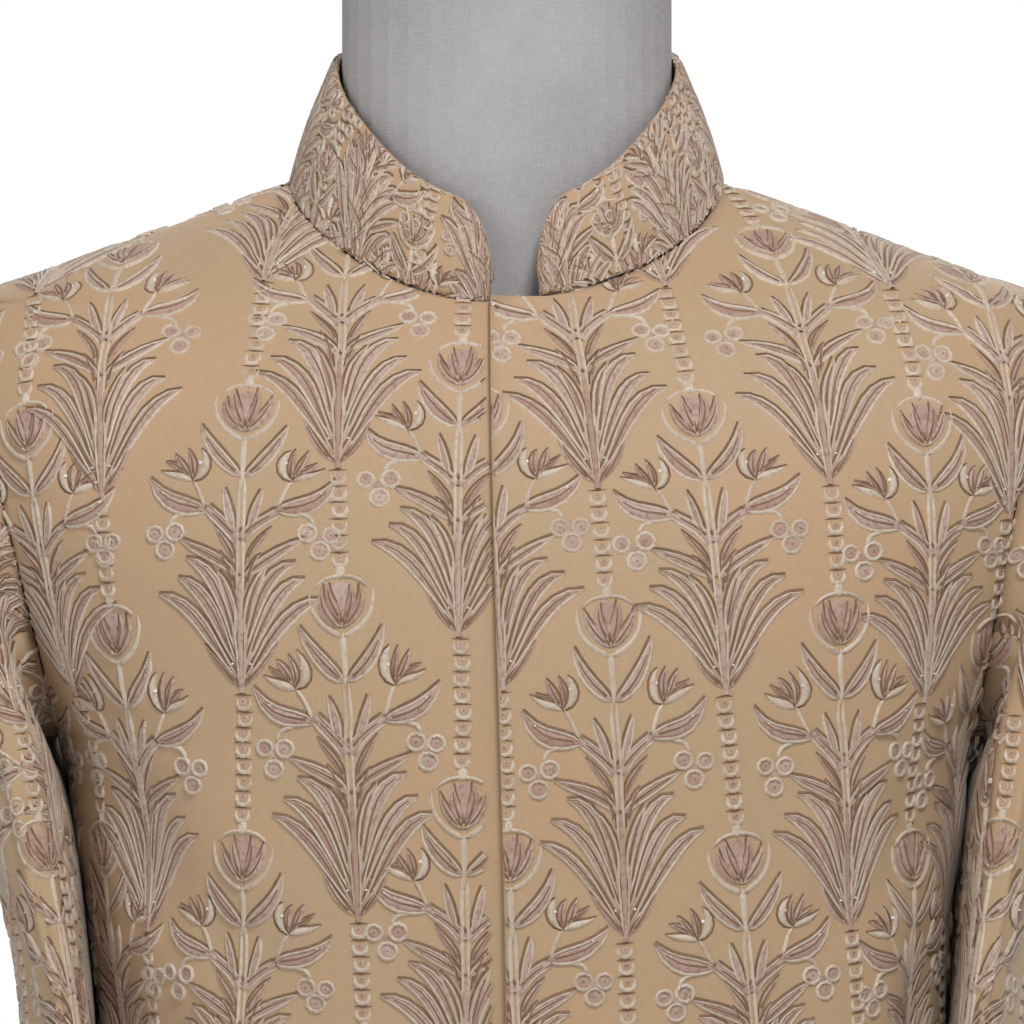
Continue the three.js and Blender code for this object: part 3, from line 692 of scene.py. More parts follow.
def lieSurface(name, piece, freeEdges, coveredColumns):
    normals = gridNormals(piece["points"]) * piece["sign"]
    points, flat, normals = grown(piece["points"], piece["flat"], normals, freeEdges)
    rows, columns = points.shape[:2]
    faces = []
    for r in range(rows - 1):
        for c in range(columns - 1):
            if r > neckRow or c > coveredColumns or not coveredColumns:
                a, b = r * columns + c, (r + 1) * columns + c
                faces.append((a, a + 1, b + 1, b))
    mesh = bpy.data.meshes.new(name)
    mesh.from_pydata((points.reshape(-1, 3) * mm).tolist(), [], faces)
    flatAttribute = mesh.attributes.new("flat", "FLOAT_VECTOR", "POINT")
    table = np.concatenate([flat.reshape(-1, 2) * mm, np.zeros((rows * columns, 1))], axis=1)
    flatAttribute.data.foreach_set("vector", table.ravel())
    outAttribute = mesh.attributes.new("outward", "FLOAT_VECTOR", "POINT")
    outAttribute.data.foreach_set("vector", normals.reshape(-1, 3).ravel())
    return addObject(name, mesh)


# One flowering plant of thread, drawn flat in millimetres: the bud's middle is at 0, 0 and the stem goes
# down. Only the right half of a pair is listed. A curve has four points, from the stem to the tip.

ivory, mauve, brown, crystal = 0, 1, 2, 3
plant = {
    "cord": 1.55, "cordHeight": 1.15, "outerCord": 0.85, "outerCordHeight": 0.9,
    "fillHeight": 0.95, "fillTop": 0.4,   # the flat top's share of a leaf's breadth
    "shadeWidth": 1.1, "shadeHeight": 0.45, "plainShade": 0.7,
    "slitOff": 0.15, "slitFrom": 0.5, "slitTo": 0.24, "slitRise": 0.12,
    "sink": 0.25, "jitter": 0.7, "bellyJitter": 0.08, "lobeJitter": 0.4,
    "foot": 118, "repeat": 166, "longFoot": 114, "shortFoot": 103, "budFoot": -12,
    "budTop": 12.5, "longBlocks": 6, "shortBlocks": 8,
    "leafSteps": {"feather": 9, "lance": 7, "bar": 7}, "cordSteps": 8, "stemSteps": 9,
}

def leafRow(curve, belly, shape="lance", edge=None, fill=mauve, slit=True):
    return {"curve": curve, "belly": belly, "shape": shape, "edge": edge, "fill": fill, "slit": slit}


plantLeaves = [
    leafRow([(0.5, -29), (5, -26), (12, -20), (15.6, -6.5)], 2.2, edge=ivory),
    leafRow([(2.2, -54), (4, -48), (5.5, -42), (8.4, -34)], 1.2, edge=ivory, slit=False),
    leafRow([(12.5, -44), (19, -41.5), (28, -44), (35, -30)], 3.0, edge=ivory),
    leafRow([(0.8, -56), (4, -51), (8, -47), (13.5, -43)], 1.9, "bar", edge=ivory),
    leafRow([(1.8, -67), (4, -60), (7, -56), (11.5, -49.5)], 1.5),
    leafRow([(1.0, -72), (6, -65), (13, -62.5), (24, -56.5)], 1.6, edge=ivory),
    leafRow([(2.0, -77), (3.5, -69), (5, -65), (8.5, -60.5)], 1.2),
    leafRow([(1.5, -96), (3.5, -86), (4.5, -76), (10.0, -68)], 1.5, edge=ivory),
    leafRow([(1.8, -103), (5.0, -88), (8.5, -67), (20.5, -65.5)], 2.1, "feather", edge=ivory),
    leafRow([(1.8, -109), (8.0, -94), (13, -74.5), (26.0, -73)], 2.1, "feather", edge=ivory),
    leafRow([(1.8, -114), (11, -102), (17, -81.5), (31, -79.5)], 2.1, "feather", edge=ivory),
    leafRow([(0.8, -118), (5, -113), (9, -108), (13.0, -99)], 1.4),
    # side flower: inner cup, two petals and an outer lip
    leafRow([(18.3, -31), (13.2, -28), (13.6, -21), (17, -16.5)], 1.7, fill=ivory, slit=False),
    leafRow([(18.8, -30), (17.8, -26), (18.6, -22), (20.4, -17.0)], 1.5),
    leafRow([(19.2, -30), (21.4, -27), (23.2, -23), (25.4, -18.7)], 1.6),
    leafRow([(18.7, -31.3), (21.5, -28), (25, -29.3), (31, -25.4)], 1.6, fill=ivory, slit=False),
    leafRow([(20.2, -28), (22.5, -26.2), (25, -25.6), (28.6, -22.4)], 1.2),
    # bud petals
    leafRow([(0.6, -8.6), (4, -6), (9.5, -2), (8.4, 6.0)], 2.3),
    leafRow([(0.5, -6.5), (2.5, -3), (5.2, 2), (3.6, 9.0)], 2.2),
]
plantCords = [
    {"curve": [(0, -11.6), (5.0, -9.8), (13.4, -5), (11.6, 6.4)], "from": 2.5, "to": 1.5, "mirror": True},
    {"curve": [(0, -8.2), (3.6, -6.8), (9.0, -3), (8.2, 5)], "from": 1.3, "to": 1.0, "mirror": True},
    {"curve": [(0, -10), (0, -16), (0, -23), (0, -30)], "from": 2.8, "to": 2.4, "mirror": False},
    {"curve": [(13.5, -42.5), (15.5, -38), (16, -34), (18.6, -31)], "from": 1.9, "to": 1.6, "mirror": True},
    {"curve": [(20.5, -45), (24.5, -45), (26.8, -46.5), (27, -50.5)], "from": 2.1, "to": 1.7, "mirror": True},
    {"curve": [(0.9, -29), (1.2, -45), (1.2, -62), (1.0, -84)], "from": 1.9, "to": 1.4, "mirror": True},
    {"curve": [(2.0, -84), (1.9, -96), (1.8, -106), (0.8, -118)], "from": 1.2, "to": 1.0, "mirror": True},
    {"curve": [(0, 10.4), (3.6, 10.6), (7.4, 9.6), (9.6, 6.4)], "from": 1.7, "to": 1.2, "mirror": True},
    {"curve": [(0, 9.4), (0, 11), (0, 12.6), (0, 14.6)], "from": 4.6, "to": 3.6, "mirror": False},
]
plantStem = {"curve": [(0, -74), (0, -88), (0, -102), (0, -120)], "belly": 1.5}
plantLobes = [(25.0, -52.8, 3.4), (33.2, -53.4, 3.1), (29.2, -60.4, 3.5)]
plantLobeHeart = (29.2, -55.6, 2.4)
plantBudFill = [(0.0, -1.0, 7.4), (0.0, 4.6, 6.2)]
plantCrystals = [(16.0, -23.2, 0.85), (29.6, -36.2, 0.7), (3.6, -108, 0.6)]
ladderBlock = {"half": 3.4, "low": 2.5, "cup": 1.75, "bar": 1.25, "dot": 1.05}


def bezier(curve, t):
    p = np.array(curve, float)
    t = np.asarray(t)[:, None]
    return (1 - t) ** 3 * p[0] + 3 * (1 - t) ** 2 * t * p[1] + 3 * (1 - t) * t * t * p[2] + t ** 3 * p[3]


def sideways(path):
    along = np.gradient(path, axis=0)
    along /= np.maximum(np.linalg.norm(along, axis=1, keepdims=True), 1e-9)
    return np.stack([-along[:, 1], along[:, 0]], axis=1)


def newWork():
    return {"points": [], "faces": [], "kinds": [], "threads": [], "tints": []}


def addFaces(work, points, faces, kind, threads):
    start = len(work["points"])
    work["points"].extend(points)
    tint = float(rng.random())
    for face in faces:
        a, b, c = [points[k] for k in face[:3]]
        turn = (b[0] - a[0]) * (c[1] - a[1]) - (b[1] - a[1]) * (c[0] - a[0])
        face = face if turn >= 0 else tuple(reversed(face))
        work["faces"].append(tuple(start + k for k in face))
        work["kinds"].append(kind)
        work["tints"].append(tint)
        work["threads"].append([threads[k] for k in face])


def strip(work, rows, heights, kind, closed=False):
    # rows are lines of the same number of points side by side, heights one for each line
    count = len(rows[0])
    points, threads = [], []
    along = np.concatenate([[0], np.cumsum(np.linalg.norm(np.diff(rows[len(rows) // 2], axis=0), axis=1))])
    for line, height in zip(rows, heights):
        for k in range(count):
            points.append((line[k][0], line[k][1], height[k] if np.ndim(height) else height))
            threads.append((along[k], float(np.linalg.norm(line[k] - rows[0][k]))))
    faces = []
    last = count if closed else count - 1
    for r in range(len(rows) - 1):
        for k in range(last):
            a, b = r * count + k, r * count + (k + 1) % count
            faces.append((a, b, b + count, a + count))
    addFaces(work, points, faces, kind, threads)


def addCord(work, path, width, height, kind=ivory, closed=False):
    width = np.broadcast_to(width, len(path)).astype(float)
    if closed:
        wide = np.concatenate([path[-1:], path, path[:1]])
        across = sideways(wide)[1:-1]
    else:
        across = sideways(path)
        ends = np.ones(len(path))
        ends[0] = ends[-1] = 0.15
        width = width * ends
    half = width[:, None] / 2
    top = height * (np.ones(len(path)) if closed else 0.35 + 0.65 * np.minimum(1, width / width.max()))
    strip(work, [path + across * half, path, path - across * half],
          [-plant["sink"] + 0 * top, top, -plant["sink"] + 0 * top], kind, closed)


def bellyAt(shape, t):
    if shape == "feather":
        return np.sin(math.pi * np.clip(t, 0, 1) ** 1.45) ** 0.85 + 0.12 * (1 - t)
    if shape == "bar":
        return 1 - 0.25 * t
    return np.sin(math.pi * np.clip(t, 0, 1)) ** 0.8


def drawnAt(places, size):
    return np.array(places, float) * (size["across"], size["along"])


def addLeaf(work, leaf, mirror, size):
    steps = plant["leafSteps"][leaf["shape"]]
    t = np.linspace(0, 1, steps)
    curve = drawnAt(leaf["curve"], size)
    curve[1:] += rng.normal(0, plant["jitter"] * size["across"], (3, 2))
    curve[:, 0] *= mirror
    path = bezier(curve, t)
    belly = leaf["belly"] * size["thick"] * bellyAt(leaf["shape"], t)
    belly *= 1 + rng.normal(0, plant["bellyJitter"])
    across = sideways(path) * -mirror
    outer, inner = path - across * belly[:, None], path + across * belly[:, None]
    high = plant["fillHeight"] * np.minimum(1, belly / belly.max() + 0.25)
    low = -plant["sink"] + 0 * high
    top = across * belly[:, None] * plant["fillTop"]
    strip(work, [outer, path - top, path + top, inner], [low, high, high, low], leaf["fill"])
    cord = plant["cord"]
    if leaf["edge"] is not None:
        outerHeight = plant["cordHeight"] * plant["outerCordHeight"]
        addCord(work, outer, cord * plant["outerCord"], outerHeight, leaf["edge"])
        addCord(work, inner, cord, plant["cordHeight"], leaf["edge"])
    # A brown strip along the leaf's outer edge: brown thread, and also painted shadow under the raised leaf.
    shade = plant["shadeWidth"] * (1 if leaf["edge"] is not None else plant["plainShade"])
    shadeAt = outer - across * (cord * 0.5 if leaf["edge"] is not None else 0.1)
    strip(work, [shadeAt - across * shade, shadeAt + across * 0.1],
          [-0.15 + 0 * high, plant["shadeHeight"] + 0 * high], brown)
    if leaf["slit"]:
        part = slice(1, steps - 1)
        line = path[part] - across[part] * belly[part, None] * plant["slitOff"]
        widths = np.linspace(plant["slitFrom"], plant["slitTo"], steps - 2)[:, None]
        half = across[part] * widths * size["thick"]
        top = high[part] + plant["slitRise"]
        strip(work, [line - half, line, line + half], [top - 0.1, top, top - 0.1], brown)


def addRound(work, x, y, radius, height, kind, sides=7):
    angles = 2 * math.pi * np.arange(sides) / sides
    ring = [(x + radius * math.cos(a), y + radius * math.sin(a), -plant["sink"]) for a in angles]
    points = ring + [(x, y, height)]
    faces = [(k, (k + 1) % sides, sides) for k in range(sides)]
    addFaces(work, points, faces, kind, [(p[0], p[1]) for p in points])


def addLadder(work, bottom, top, blocks, thick):
    pitch = (top - bottom) / blocks
    block = ladderBlock
    cup = np.array([(-1, 0.75), (-1.02, -0.1), (-0.72, -0.75), (0, -0.95),
                    (0.72, -0.75), (1.02, -0.1), (1, 0.75)])
    half = block["half"] * thick
    for k in range(blocks):
        y = bottom + (k + 0.5) * pitch - 0.3
        wobble = rng.normal(0, 0.2, 2)
        path = cup * (half - block["cup"] * thick / 2, min(block["low"], pitch * 0.42)) + (wobble[0], y)
        width = block["cup"] * thick * np.array([1, 1.05, 1.1, 1.2, 1.1, 1.05, 1])
        addCord(work, path, width, plant["cordHeight"])
        # A brown bar just under the next block: brown thread that also stands for painted shade below that
        # block.
        barAt = y + pitch * 0.46
        bar = np.array([(-half, barAt), (0, barAt + pitch * 0.02 + wobble[1]), (half, barAt)])
        addCord(work, bar, block["bar"] * thick, 0.7, brown)
        addRound(work, wobble[0], y + 0.35, block["dot"] * 1.7 * thick, 0.55, mauve, 6)
        addRound(work, wobble[0], y + 0.6, block["dot"] * 0.8 * thick, 0.72, brown, 6)


def plantWork(isLong, scale):
    work = newWork()
    foot = plant["longFoot"] if isLong else plant["shortFoot"]
    down = {"across": scale, "along": scale * foot / plant["foot"], "thick": scale ** 0.4}
    even = {"across": scale, "along": scale, "thick": scale ** 0.4}
    thick = down["thick"]
    for x, y, radius in plantBudFill:
        addRound(work, x * scale, y * scale, radius * scale, 0.5, mauve, 10)
    for leaf in plantLeaves:
        for mirror in (1, -1):
            addLeaf(work, leaf, mirror, down if leaf["curve"][0][1] < plant["budFoot"] else even)
    stem = bezier(drawnAt(plantStem["curve"], down), np.linspace(0, 1, plant["stemSteps"]))
    half = np.array([[plantStem["belly"] * thick, 0]])
    high = plant["fillHeight"] + 0 * stem[:, 0]
    low = -plant["sink"] + 0 * high
    strip(work, [stem - half, stem - half * 0.3, stem + half * 0.3, stem + half],
          [low, high, high, low], mauve)
    for cord in plantCords:
        for mirror in ((1, -1) if cord["mirror"] else (1,)):
            curve = drawnAt(cord["curve"], down if cord["curve"][0][1] < plant["budFoot"] else even)
            path = bezier(curve * (mirror, 1), np.linspace(0, 1, plant["cordSteps"]))
            widths = np.linspace(cord["from"], cord["to"], plant["cordSteps"]) * thick
            addCord(work, path, widths, plant["cordHeight"] + 0.1)
    for mirror in (1, -1):
        for x, y, radius in plantLobes:
            moved = rng.normal(0, plant["lobeJitter"], 2)
            x, y = drawnAt((mirror * x + moved[0], y + moved[1]), down)
            angles = 2 * math.pi * np.arange(9) / 9
            ring = radius * scale * np.stack([np.cos(angles), 0.92 * np.sin(angles)], axis=1) + (x, y)
            addRound(work, x, y, radius * scale, 0.6, mauve, 8)
            addCord(work, ring, 1.6 * thick, plant["cordHeight"], ivory, closed=True)
            addRound(work, x, y, 1.15 * thick, 0.85, brown, 6)
        x, y, radius = plantLobeHeart
        x, y = drawnAt((mirror * x, y), down)
        addRound(work, x, y, radius * scale, 0.8, mauve, 7)
        for x, y, radius in plantCrystals:
            x, y = drawnAt((mirror * x, y), down)
            addRound(work, x, y, radius * thick, 1.6, crystal, 6)
    blocks = plant["longBlocks"] if isLong else plant["shortBlocks"]
    addLadder(work, (plant["budTop"] + 1.2) * scale, (plant["repeat"] - foot - 1.5) * scale, blocks, thick)
    return work


def triangles(mesh):
    return sum(len(face.vertices) - 2 for face in mesh.polygons)


def workObject(name, work):
    mesh = bpy.data.meshes.new(name)
    mesh.from_pydata((np.array(work["points"]) * mm).tolist(), [], work["faces"])
    kinds = mesh.attributes.new("threadKind", "INT", "FACE")
    kinds.data.foreach_set("value", np.array(work["kinds"], np.int32))
    tints = mesh.attributes.new("tint", "FLOAT", "FACE")
    tints.data.foreach_set("value", np.array(work["tints"], np.float32))
    layer = mesh.uv_layers.new(name="thread")
    corners = np.array([corner for face in work["threads"] for corner in face], float)
    layer.uv.foreach_set("vector", (corners * mm).ravel())
    mesh.polygons.foreach_set("use_smooth", np.ones(len(mesh.polygons), bool))
    return addObject(name, mesh)


plantShapes = bpy.data.collections.new("plant shapes")
bpy.context.scene.collection.children.link(plantShapes)
collarSize = 0.66   # the collar's plants against the body's
shapes = [("plant a long", True, 1.0), ("plant b short", False, 1.0),
          ("plant c long", True, 1.0), ("plant d short", False, 1.0),
          ("plant e collar long", True, collarSize), ("plant f collar short", False, collarSize)]
for name, isLong, scale in shapes:
    made = workObject(name, plantWork(isLong, scale))
    bpy.context.scene.collection.objects.unlink(made)
    plantShapes.objects.link(made)
    print(name, "triangles", triangles(made.data))


# Shader groups that several materials share

def shaderGroup(name, inputs, outputs):
    group = bpy.data.node_groups.new(name, "ShaderNodeTree")
    for label, kind, value in inputs:
        socket = group.interface.new_socket(label, in_out="INPUT", socket_type=kind)
        if value is not None:
            socket.default_value = value
    for label, kind in outputs:
        group.interface.new_socket(label, in_out="OUTPUT", socket_type=kind)
    start, end = group.nodes.new("NodeGroupInput"), group.nodes.new("NodeGroupOutput")
    return group, start, end


def addNode(tree, kind, settings=None, **values):
    node = tree.nodes.new(kind)
    for key, value in (settings or {}).items():
        setattr(node, key, value)
    for key, value in values.items():
        socket = node.inputs[int(key[5:])] if key.startswith("input") else node.inputs[key]
        if isinstance(value, bpy.types.NodeSocket):
            tree.links.new(value, socket)
        else:
            socket.default_value = value
    return node


def mathNode(tree, operation, first, second=0.0):
    return addNode(tree, "ShaderNodeMath", {"operation": operation}, input0=first, input1=second).outputs[0]


def mixColour(tree, share, first, second, blend="MIX"):
    node = tree.nodes.new("ShaderNodeMix")
    node.data_type = "RGBA"
    node.blend_type = blend
    for place, value in ((0, share), (6, first), (7, second)):
        if isinstance(value, bpy.types.NodeSocket):
            tree.links.new(value, node.inputs[place])
        else:
            node.inputs[place].default_value = value
    return node.outputs[2]


weaveGroup, start, end = shaderGroup(
    "plain weave",
    [("Vector", "NodeSocketVector", None), ("Threads", "NodeSocketFloat", 2200.0),
     ("Slub", "NodeSocketFloat", 0.5)],
    [("Height", "NodeSocketFloat"), ("Slubs", "NodeSocketFloat")])


def slubLines(stretch):
    stretched = addNode(weaveGroup, "ShaderNodeMapping", Vector=start.outputs["Vector"], Scale=stretch)
    noise = addNode(weaveGroup, "ShaderNodeTexNoise", Vector=stretched.outputs[0], Scale=160.0, Detail=3.0)
    return noise.outputs["Fac"]


lines = mathNode(weaveGroup, "ADD", slubLines((1.0, 12.0, 1.0)), slubLines((12.0, 1.0, 1.0)))
lines = mathNode(weaveGroup, "SUBTRACT", lines, 1.0)
slubbed = mathNode(weaveGroup, "MULTIPLY", lines, start.outputs["Slub"])
parts = addNode(weaveGroup, "ShaderNodeSeparateXYZ", Vector=start.outputs["Vector"])
turns = mathNode(weaveGroup, "MULTIPLY", start.outputs["Threads"], math.pi)
warp = mathNode(weaveGroup, "SINE", mathNode(weaveGroup, "MULTIPLY", parts.outputs[0], turns))
weft = mathNode(weaveGroup, "SINE", mathNode(weaveGroup, "MULTIPLY", parts.outputs[1], turns))
crossing = mathNode(weaveGroup, "MULTIPLY", mathNode(weaveGroup, "MULTIPLY", warp, weft), 0.5)
height = mathNode(weaveGroup, "ADD", crossing, mathNode(weaveGroup, "MULTIPLY", slubbed, 3.0))
weaveGroup.links.new(height, end.inputs["Height"])
weaveGroup.links.new(mathNode(weaveGroup, "ADD", slubbed, 0.5), end.inputs["Slubs"])

blotchGroup, start, end = shaderGroup(
    "soft blotches",
    [("Vector", "NodeSocketVector", None), ("Scale", "NodeSocketFloat", 14.0),
     ("Colour", "NodeSocketColor", (0.5, 0.5, 0.5, 1)), ("Other", "NodeSocketColor", (0.5, 0.5, 0.5, 1))],
    [("Colour", "NodeSocketColor")])
wide = addNode(blotchGroup, "ShaderNodeTexNoise", Vector=start.outputs["Vector"],
               Scale=start.outputs["Scale"], Detail=2.0)
ramp = addNode(blotchGroup, "ShaderNodeMapRange", {"interpolation_type": "SMOOTHSTEP"},
               Value=wide.outputs["Fac"])
ramp.inputs["From Min"].default_value = 0.38
ramp.inputs["From Max"].default_value = 0.64
mixed = mixColour(blotchGroup, ramp.outputs[0], start.outputs["Colour"], start.outputs["Other"])
blotchGroup.links.new(mixed, end.inputs["Colour"])

twistGroup, start, end = shaderGroup(
    "laid thread",
    [("Vector", "NodeSocketVector", None), ("Pitch", "NodeSocketFloat", 0.0006),
     ("Slant", "NodeSocketFloat", 0.8)],
    [("Height", "NodeSocketFloat")])
parts = addNode(twistGroup, "ShaderNodeSeparateXYZ", Vector=start.outputs["Vector"])
slanted = mathNode(twistGroup, "ADD", parts.outputs[0],
                   mathNode(twistGroup, "MULTIPLY", parts.outputs[1], start.outputs["Slant"]))
turned = mathNode(twistGroup, "MULTIPLY", slanted, 2 * math.pi)
phase = mathNode(twistGroup, "DIVIDE", turned, start.outputs["Pitch"])
wave = mathNode(twistGroup, "MULTIPLY_ADD", mathNode(twistGroup, "SINE", phase), 0.5)
wave.node.inputs[2].default_value = 0.5
twistGroup.links.new(wave, end.inputs["Height"])


def newMaterial(name, roughness, metallic=0.0, sheen=0.0, sheenTint=None):
    made = bpy.data.materials.new(name)
    made.use_nodes = True
    shader = made.node_tree.nodes["Principled BSDF"]
    shader.inputs["Roughness"].default_value = roughness
    shader.inputs["Metallic"].default_value = metallic
    shader.inputs["Sheen Weight"].default_value = sheen
    if sheenTint:
        shader.inputs["Sheen Tint"].default_value = (*sheenTint, 1)
    return made, made.node_tree, shader


def placeGroup(tree, group, **values):
    node = tree.nodes.new("ShaderNodeGroup")
    node.node_tree = group
    for key, value in values.items():
        if isinstance(value, bpy.types.NodeSocket):
            tree.links.new(value, node.inputs[key])
        else:
            node.inputs[key].default_value = value
    return node


def bumpInto(tree, shader, height, strength, distance):
    bump = addNode(tree, "ShaderNodeBump", Strength=strength, Distance=distance, Height=height)
    tree.links.new(bump.outputs[0], shader.inputs["Normal"])


# Beige gold cloth

clothLook = {
    "colour": (0.475, 0.325, 0.190), "warm": (0.505, 0.325, 0.190), "shadeColour": (0.39, 0.255, 0.14),
    "blotch": 9.0, "threads": 1500.0, "slub": 0.6, "slubStart": 0.45, "slubGain": 1.3,
    "roughness": 0.58, "sheen": 0.25, "sheenTint": (1.0, 0.86, 0.7), "bump": 0.5, "bumpDeep": 0.0002,
}
clothMaterial, tree, shader = newMaterial("beige gold cloth", clothLook["roughness"],
                                          sheen=clothLook["sheen"], sheenTint=clothLook["sheenTint"])
clothPlace = addNode(tree, "ShaderNodeUVMap", {"uv_map": "cloth"})
weave = placeGroup(tree, weaveGroup, Vector=clothPlace.outputs[0], Threads=clothLook["threads"],
                   Slub=clothLook["slub"])
blotch = placeGroup(tree, blotchGroup, Vector=clothPlace.outputs[0], Scale=clothLook["blotch"],
                    Colour=(*clothLook["colour"], 1), Other=(*clothLook["warm"], 1))
darker = mathNode(tree, "SUBTRACT", weave.outputs["Slubs"], clothLook["slubStart"])
darker = mathNode(tree, "MULTIPLY", darker, clothLook["slubGain"])
darker = addNode(tree, "ShaderNodeClamp", Value=darker).outputs[0]
tinted = mixColour(tree, darker, blotch.outputs["Colour"], (*clothLook["shadeColour"], 1))
tree.links.new(tinted, shader.inputs["Base Color"])
bumpInto(tree, shader, weave.outputs["Height"], clothLook["bump"], clothLook["bumpDeep"])

# Thread: colour and other are its two tones, line the shade between its turns

threadLook = {
    "ivory cord": {
        "colour": (0.76, 0.66, 0.55), "other": (0.62, 0.51, 0.41), "line": (0.40, 0.27, 0.17),
        "roughness": 0.5, "pitch": 0.0009, "slant": 1.1, "bump": 0.3},
    "mauve satin stitch": {
        "colour": (0.64, 0.47, 0.41), "other": (0.49, 0.32, 0.26), "line": (0.24, 0.115, 0.065),
        "roughness": 0.45, "pitch": 0.0006, "slant": 0.9, "bump": 0.35},
    # The brown thread also makes the painted shadow strips beside the leaves and between the ladder blocks.
    "brown stitch and painted shadow": {
        "colour": (0.115, 0.050, 0.019), "other": (0.18, 0.085, 0.035), "line": (0.30, 0.18, 0.10),
        "roughness": 0.6, "pitch": 0.0008, "slant": 0.7, "bump": 0.3},
}
stitchLook = {
    "sheen": 0.2, "sheenTint": (1, 0.95, 0.9), "lineShare": 0.55, "bumpDeep": 0.0003,
    "speckle": 560.0, "speckled": 0.45, "speckleFrom": 0.5, "speckleTo": 0.64,
}


def threadMaterial(name, look):
    made, tree, shader = newMaterial(name, look["roughness"], sheen=stitchLook["sheen"],
                                     sheenTint=stitchLook["sheenTint"])
    line = (*look["line"], 1)
    place = addNode(tree, "ShaderNodeUVMap", {"uv_map": "thread"})
    twist = placeGroup(tree, twistGroup, Vector=place.outputs[0], Pitch=look["pitch"], Slant=look["slant"])
    tint = addNode(tree, "ShaderNodeAttribute", {"attribute_name": "tint"})
    toned = mixColour(tree, tint.outputs["Fac"], (*look["colour"], 1), (*look["other"], 1))
    between = mathNode(tree, "SUBTRACT", 1.0, twist.outputs["Height"])
    toned = mixColour(tree, mathNode(tree, "MULTIPLY", between, stitchLook["lineShare"]), toned, line)
    # short stitches that catch the light unevenly
    spots = addNode(tree, "ShaderNodeTexCoord").outputs["Object"]
    speckle = addNode(tree, "ShaderNodeTexNoise", Vector=spots, Scale=stitchLook["speckle"], Detail=2.0)
    broken = addNode(tree, "ShaderNodeMapRange", {"interpolation_type": "SMOOTHSTEP"},
                     Value=speckle.outputs["Fac"])
    broken.inputs["From Min"].default_value = stitchLook["speckleFrom"]
    broken.inputs["From Max"].default_value = stitchLook["speckleTo"]
    broken.inputs["To Max"].default_value = stitchLook["speckled"]
    tree.links.new(mixColour(tree, broken.outputs[0], toned, line), shader.inputs["Base Color"])
    bumpInto(tree, shader, twist.outputs["Height"], look["bump"], stitchLook["bumpDeep"])
    return made


crystalLook = {
    "light": (0.95, 0.93, 0.9, 1), "dark": (0.7, 0.66, 0.62, 1), "facets": 2600.0, "roughness": 0.08,
}
# The light and dark facet tones in the crystal's colour are painted glints and painted shade.
crystalMaterial, tree, shader = newMaterial("clear crystal", crystalLook["roughness"])
place = addNode(tree, "ShaderNodeTexCoord").outputs["Object"]
facets = addNode(tree, "ShaderNodeTexVoronoi", Vector=place, Scale=crystalLook["facets"])
tree.links.new(mixColour(tree, facets.outputs["Distance"], crystalLook["light"], crystalLook["dark"]),
               shader.inputs["Base Color"])
shader.inputs["Coat Weight"].default_value = 1.0
threadMaterials = [threadMaterial(name, look) for name, look in threadLook.items()]
threadMaterials.append(crystalMaterial)
print("thread materials:", len(threadMaterials))


# Where the plants stand on each panel. A bud's place in the photograph is given as across and height on the
# coat; the rest of its column follows up and down the cloth.

layout = {
    "spacing": 43.5, "repeat": 166.5, "relief": 1.0,
    "leanJitter": 0.5, "columnLean": 0.6, "acrossJitter": 0.8, "alongJitter": 1.5,
    "reach": (37, 122, 54), "seamReach": (40, 124, 56),   # a plant's reach beside, below and above its bud
    "seamJoin": 4,   # how close sewn edges lie
    "roomAcross": 27, "roomOnBack": 58, "roomOnSleeve": 66,
    "backBud": 1175, "sleeveBud": 70, "underBud": 20, "collarShift": 6, "collarDrop": 0.72,
}
frontColumns = {
    "right": [
        {"across": -16.8, "height": 1357, "lean": 1.0, "long": False},
        {"across": -60.6, "height": 1269, "lean": 2.4, "long": True},
        {"across": -96.3, "height": 1340.5, "lean": -1.0, "long": False},
        {"across": -145.8, "height": 1258, "lean": 1.8, "long": True},
        {"across": -179.5, "height": 1333.8, "lean": 2.5, "long": False},
    ],
    "left": [
        {"across": 1.0, "height": 1176, "lean": 3.5, "long": False},
        {"across": 37.6, "height": 1261.7, "lean": 3.6, "long": True},
        {"across": 69.5, "height": 1338.6, "lean": 5.6, "long": False},
        {"across": 123.1, "height": 1262.5, "lean": 5.0, "long": True},
        {"across": 155.0, "height": 1335.6, "lean": 4.4, "long": False},
    ],
}


def flatAt(piece, across, height):
    points, flat = piece["points"].reshape(-1, 3), piece["flat"].reshape(-1, 2)
    away = np.hypot(points[:, 0] - across, points[:, 2] - height)
    near = np.argsort(away)[:14]
    table = np.stack([points[near, 0], points[near, 2], np.ones(len(near))], axis=1)
    fit, *_ = np.linalg.lstsq(table, flat[near], rcond=None)
    return np.array([across, height, 1.0]) @ fit


def isNear(away, reach, size):
    beside, below, above = reach
    return (np.abs(away[:, 0]) < beside * size) & (away[:, 1] > -below * size) & (away[:, 1] < above * size)


def touches(flat, bud, size):
    return bool(np.any(isNear(flat.reshape(-1, 2) - bud, layout["reach"], size)))


def columnOf(flat, bud, lean, isLong, size):
    turn = math.radians(lean)
    step = np.array([-math.sin(turn), math.cos(turn)]) * layout["repeat"] * size
    spots = []
    for k in range(-6, 7):
        at = bud + k * step
        if touches(flat, at, size):
            shape = (0 if isLong else 1) + (2 * int(rng.integers(2)) if size == 1 else 4)
            spots.append({"at": at, "lean": lean + rng.normal(0, layout["leanJitter"]),
                          "shape": shape, "size": size})
    return spots


def frontSpots(word):
    piece = clothPieces[f"coat_front_{word}"]
    columns = [{**column, "bud": flatAt(piece, column["across"], column["height"])}
               for column in frontColumns[word]]
    for rise in (-0.5, 0.5):   # two more columns beyond the last one, towards the sleeve
        last = columns[-1]
        step = np.array([layout["spacing"] * (1 if word == "left" else -1), layout["repeat"] * rise])
        columns.append({"bud": last["bud"] + step, "lean": last["lean"], "long": not last["long"]})
    spots = []
    for column in columns:
        spots += columnOf(piece["flat"], column["bud"], column["lean"], column["long"], 1.0)
    return spots


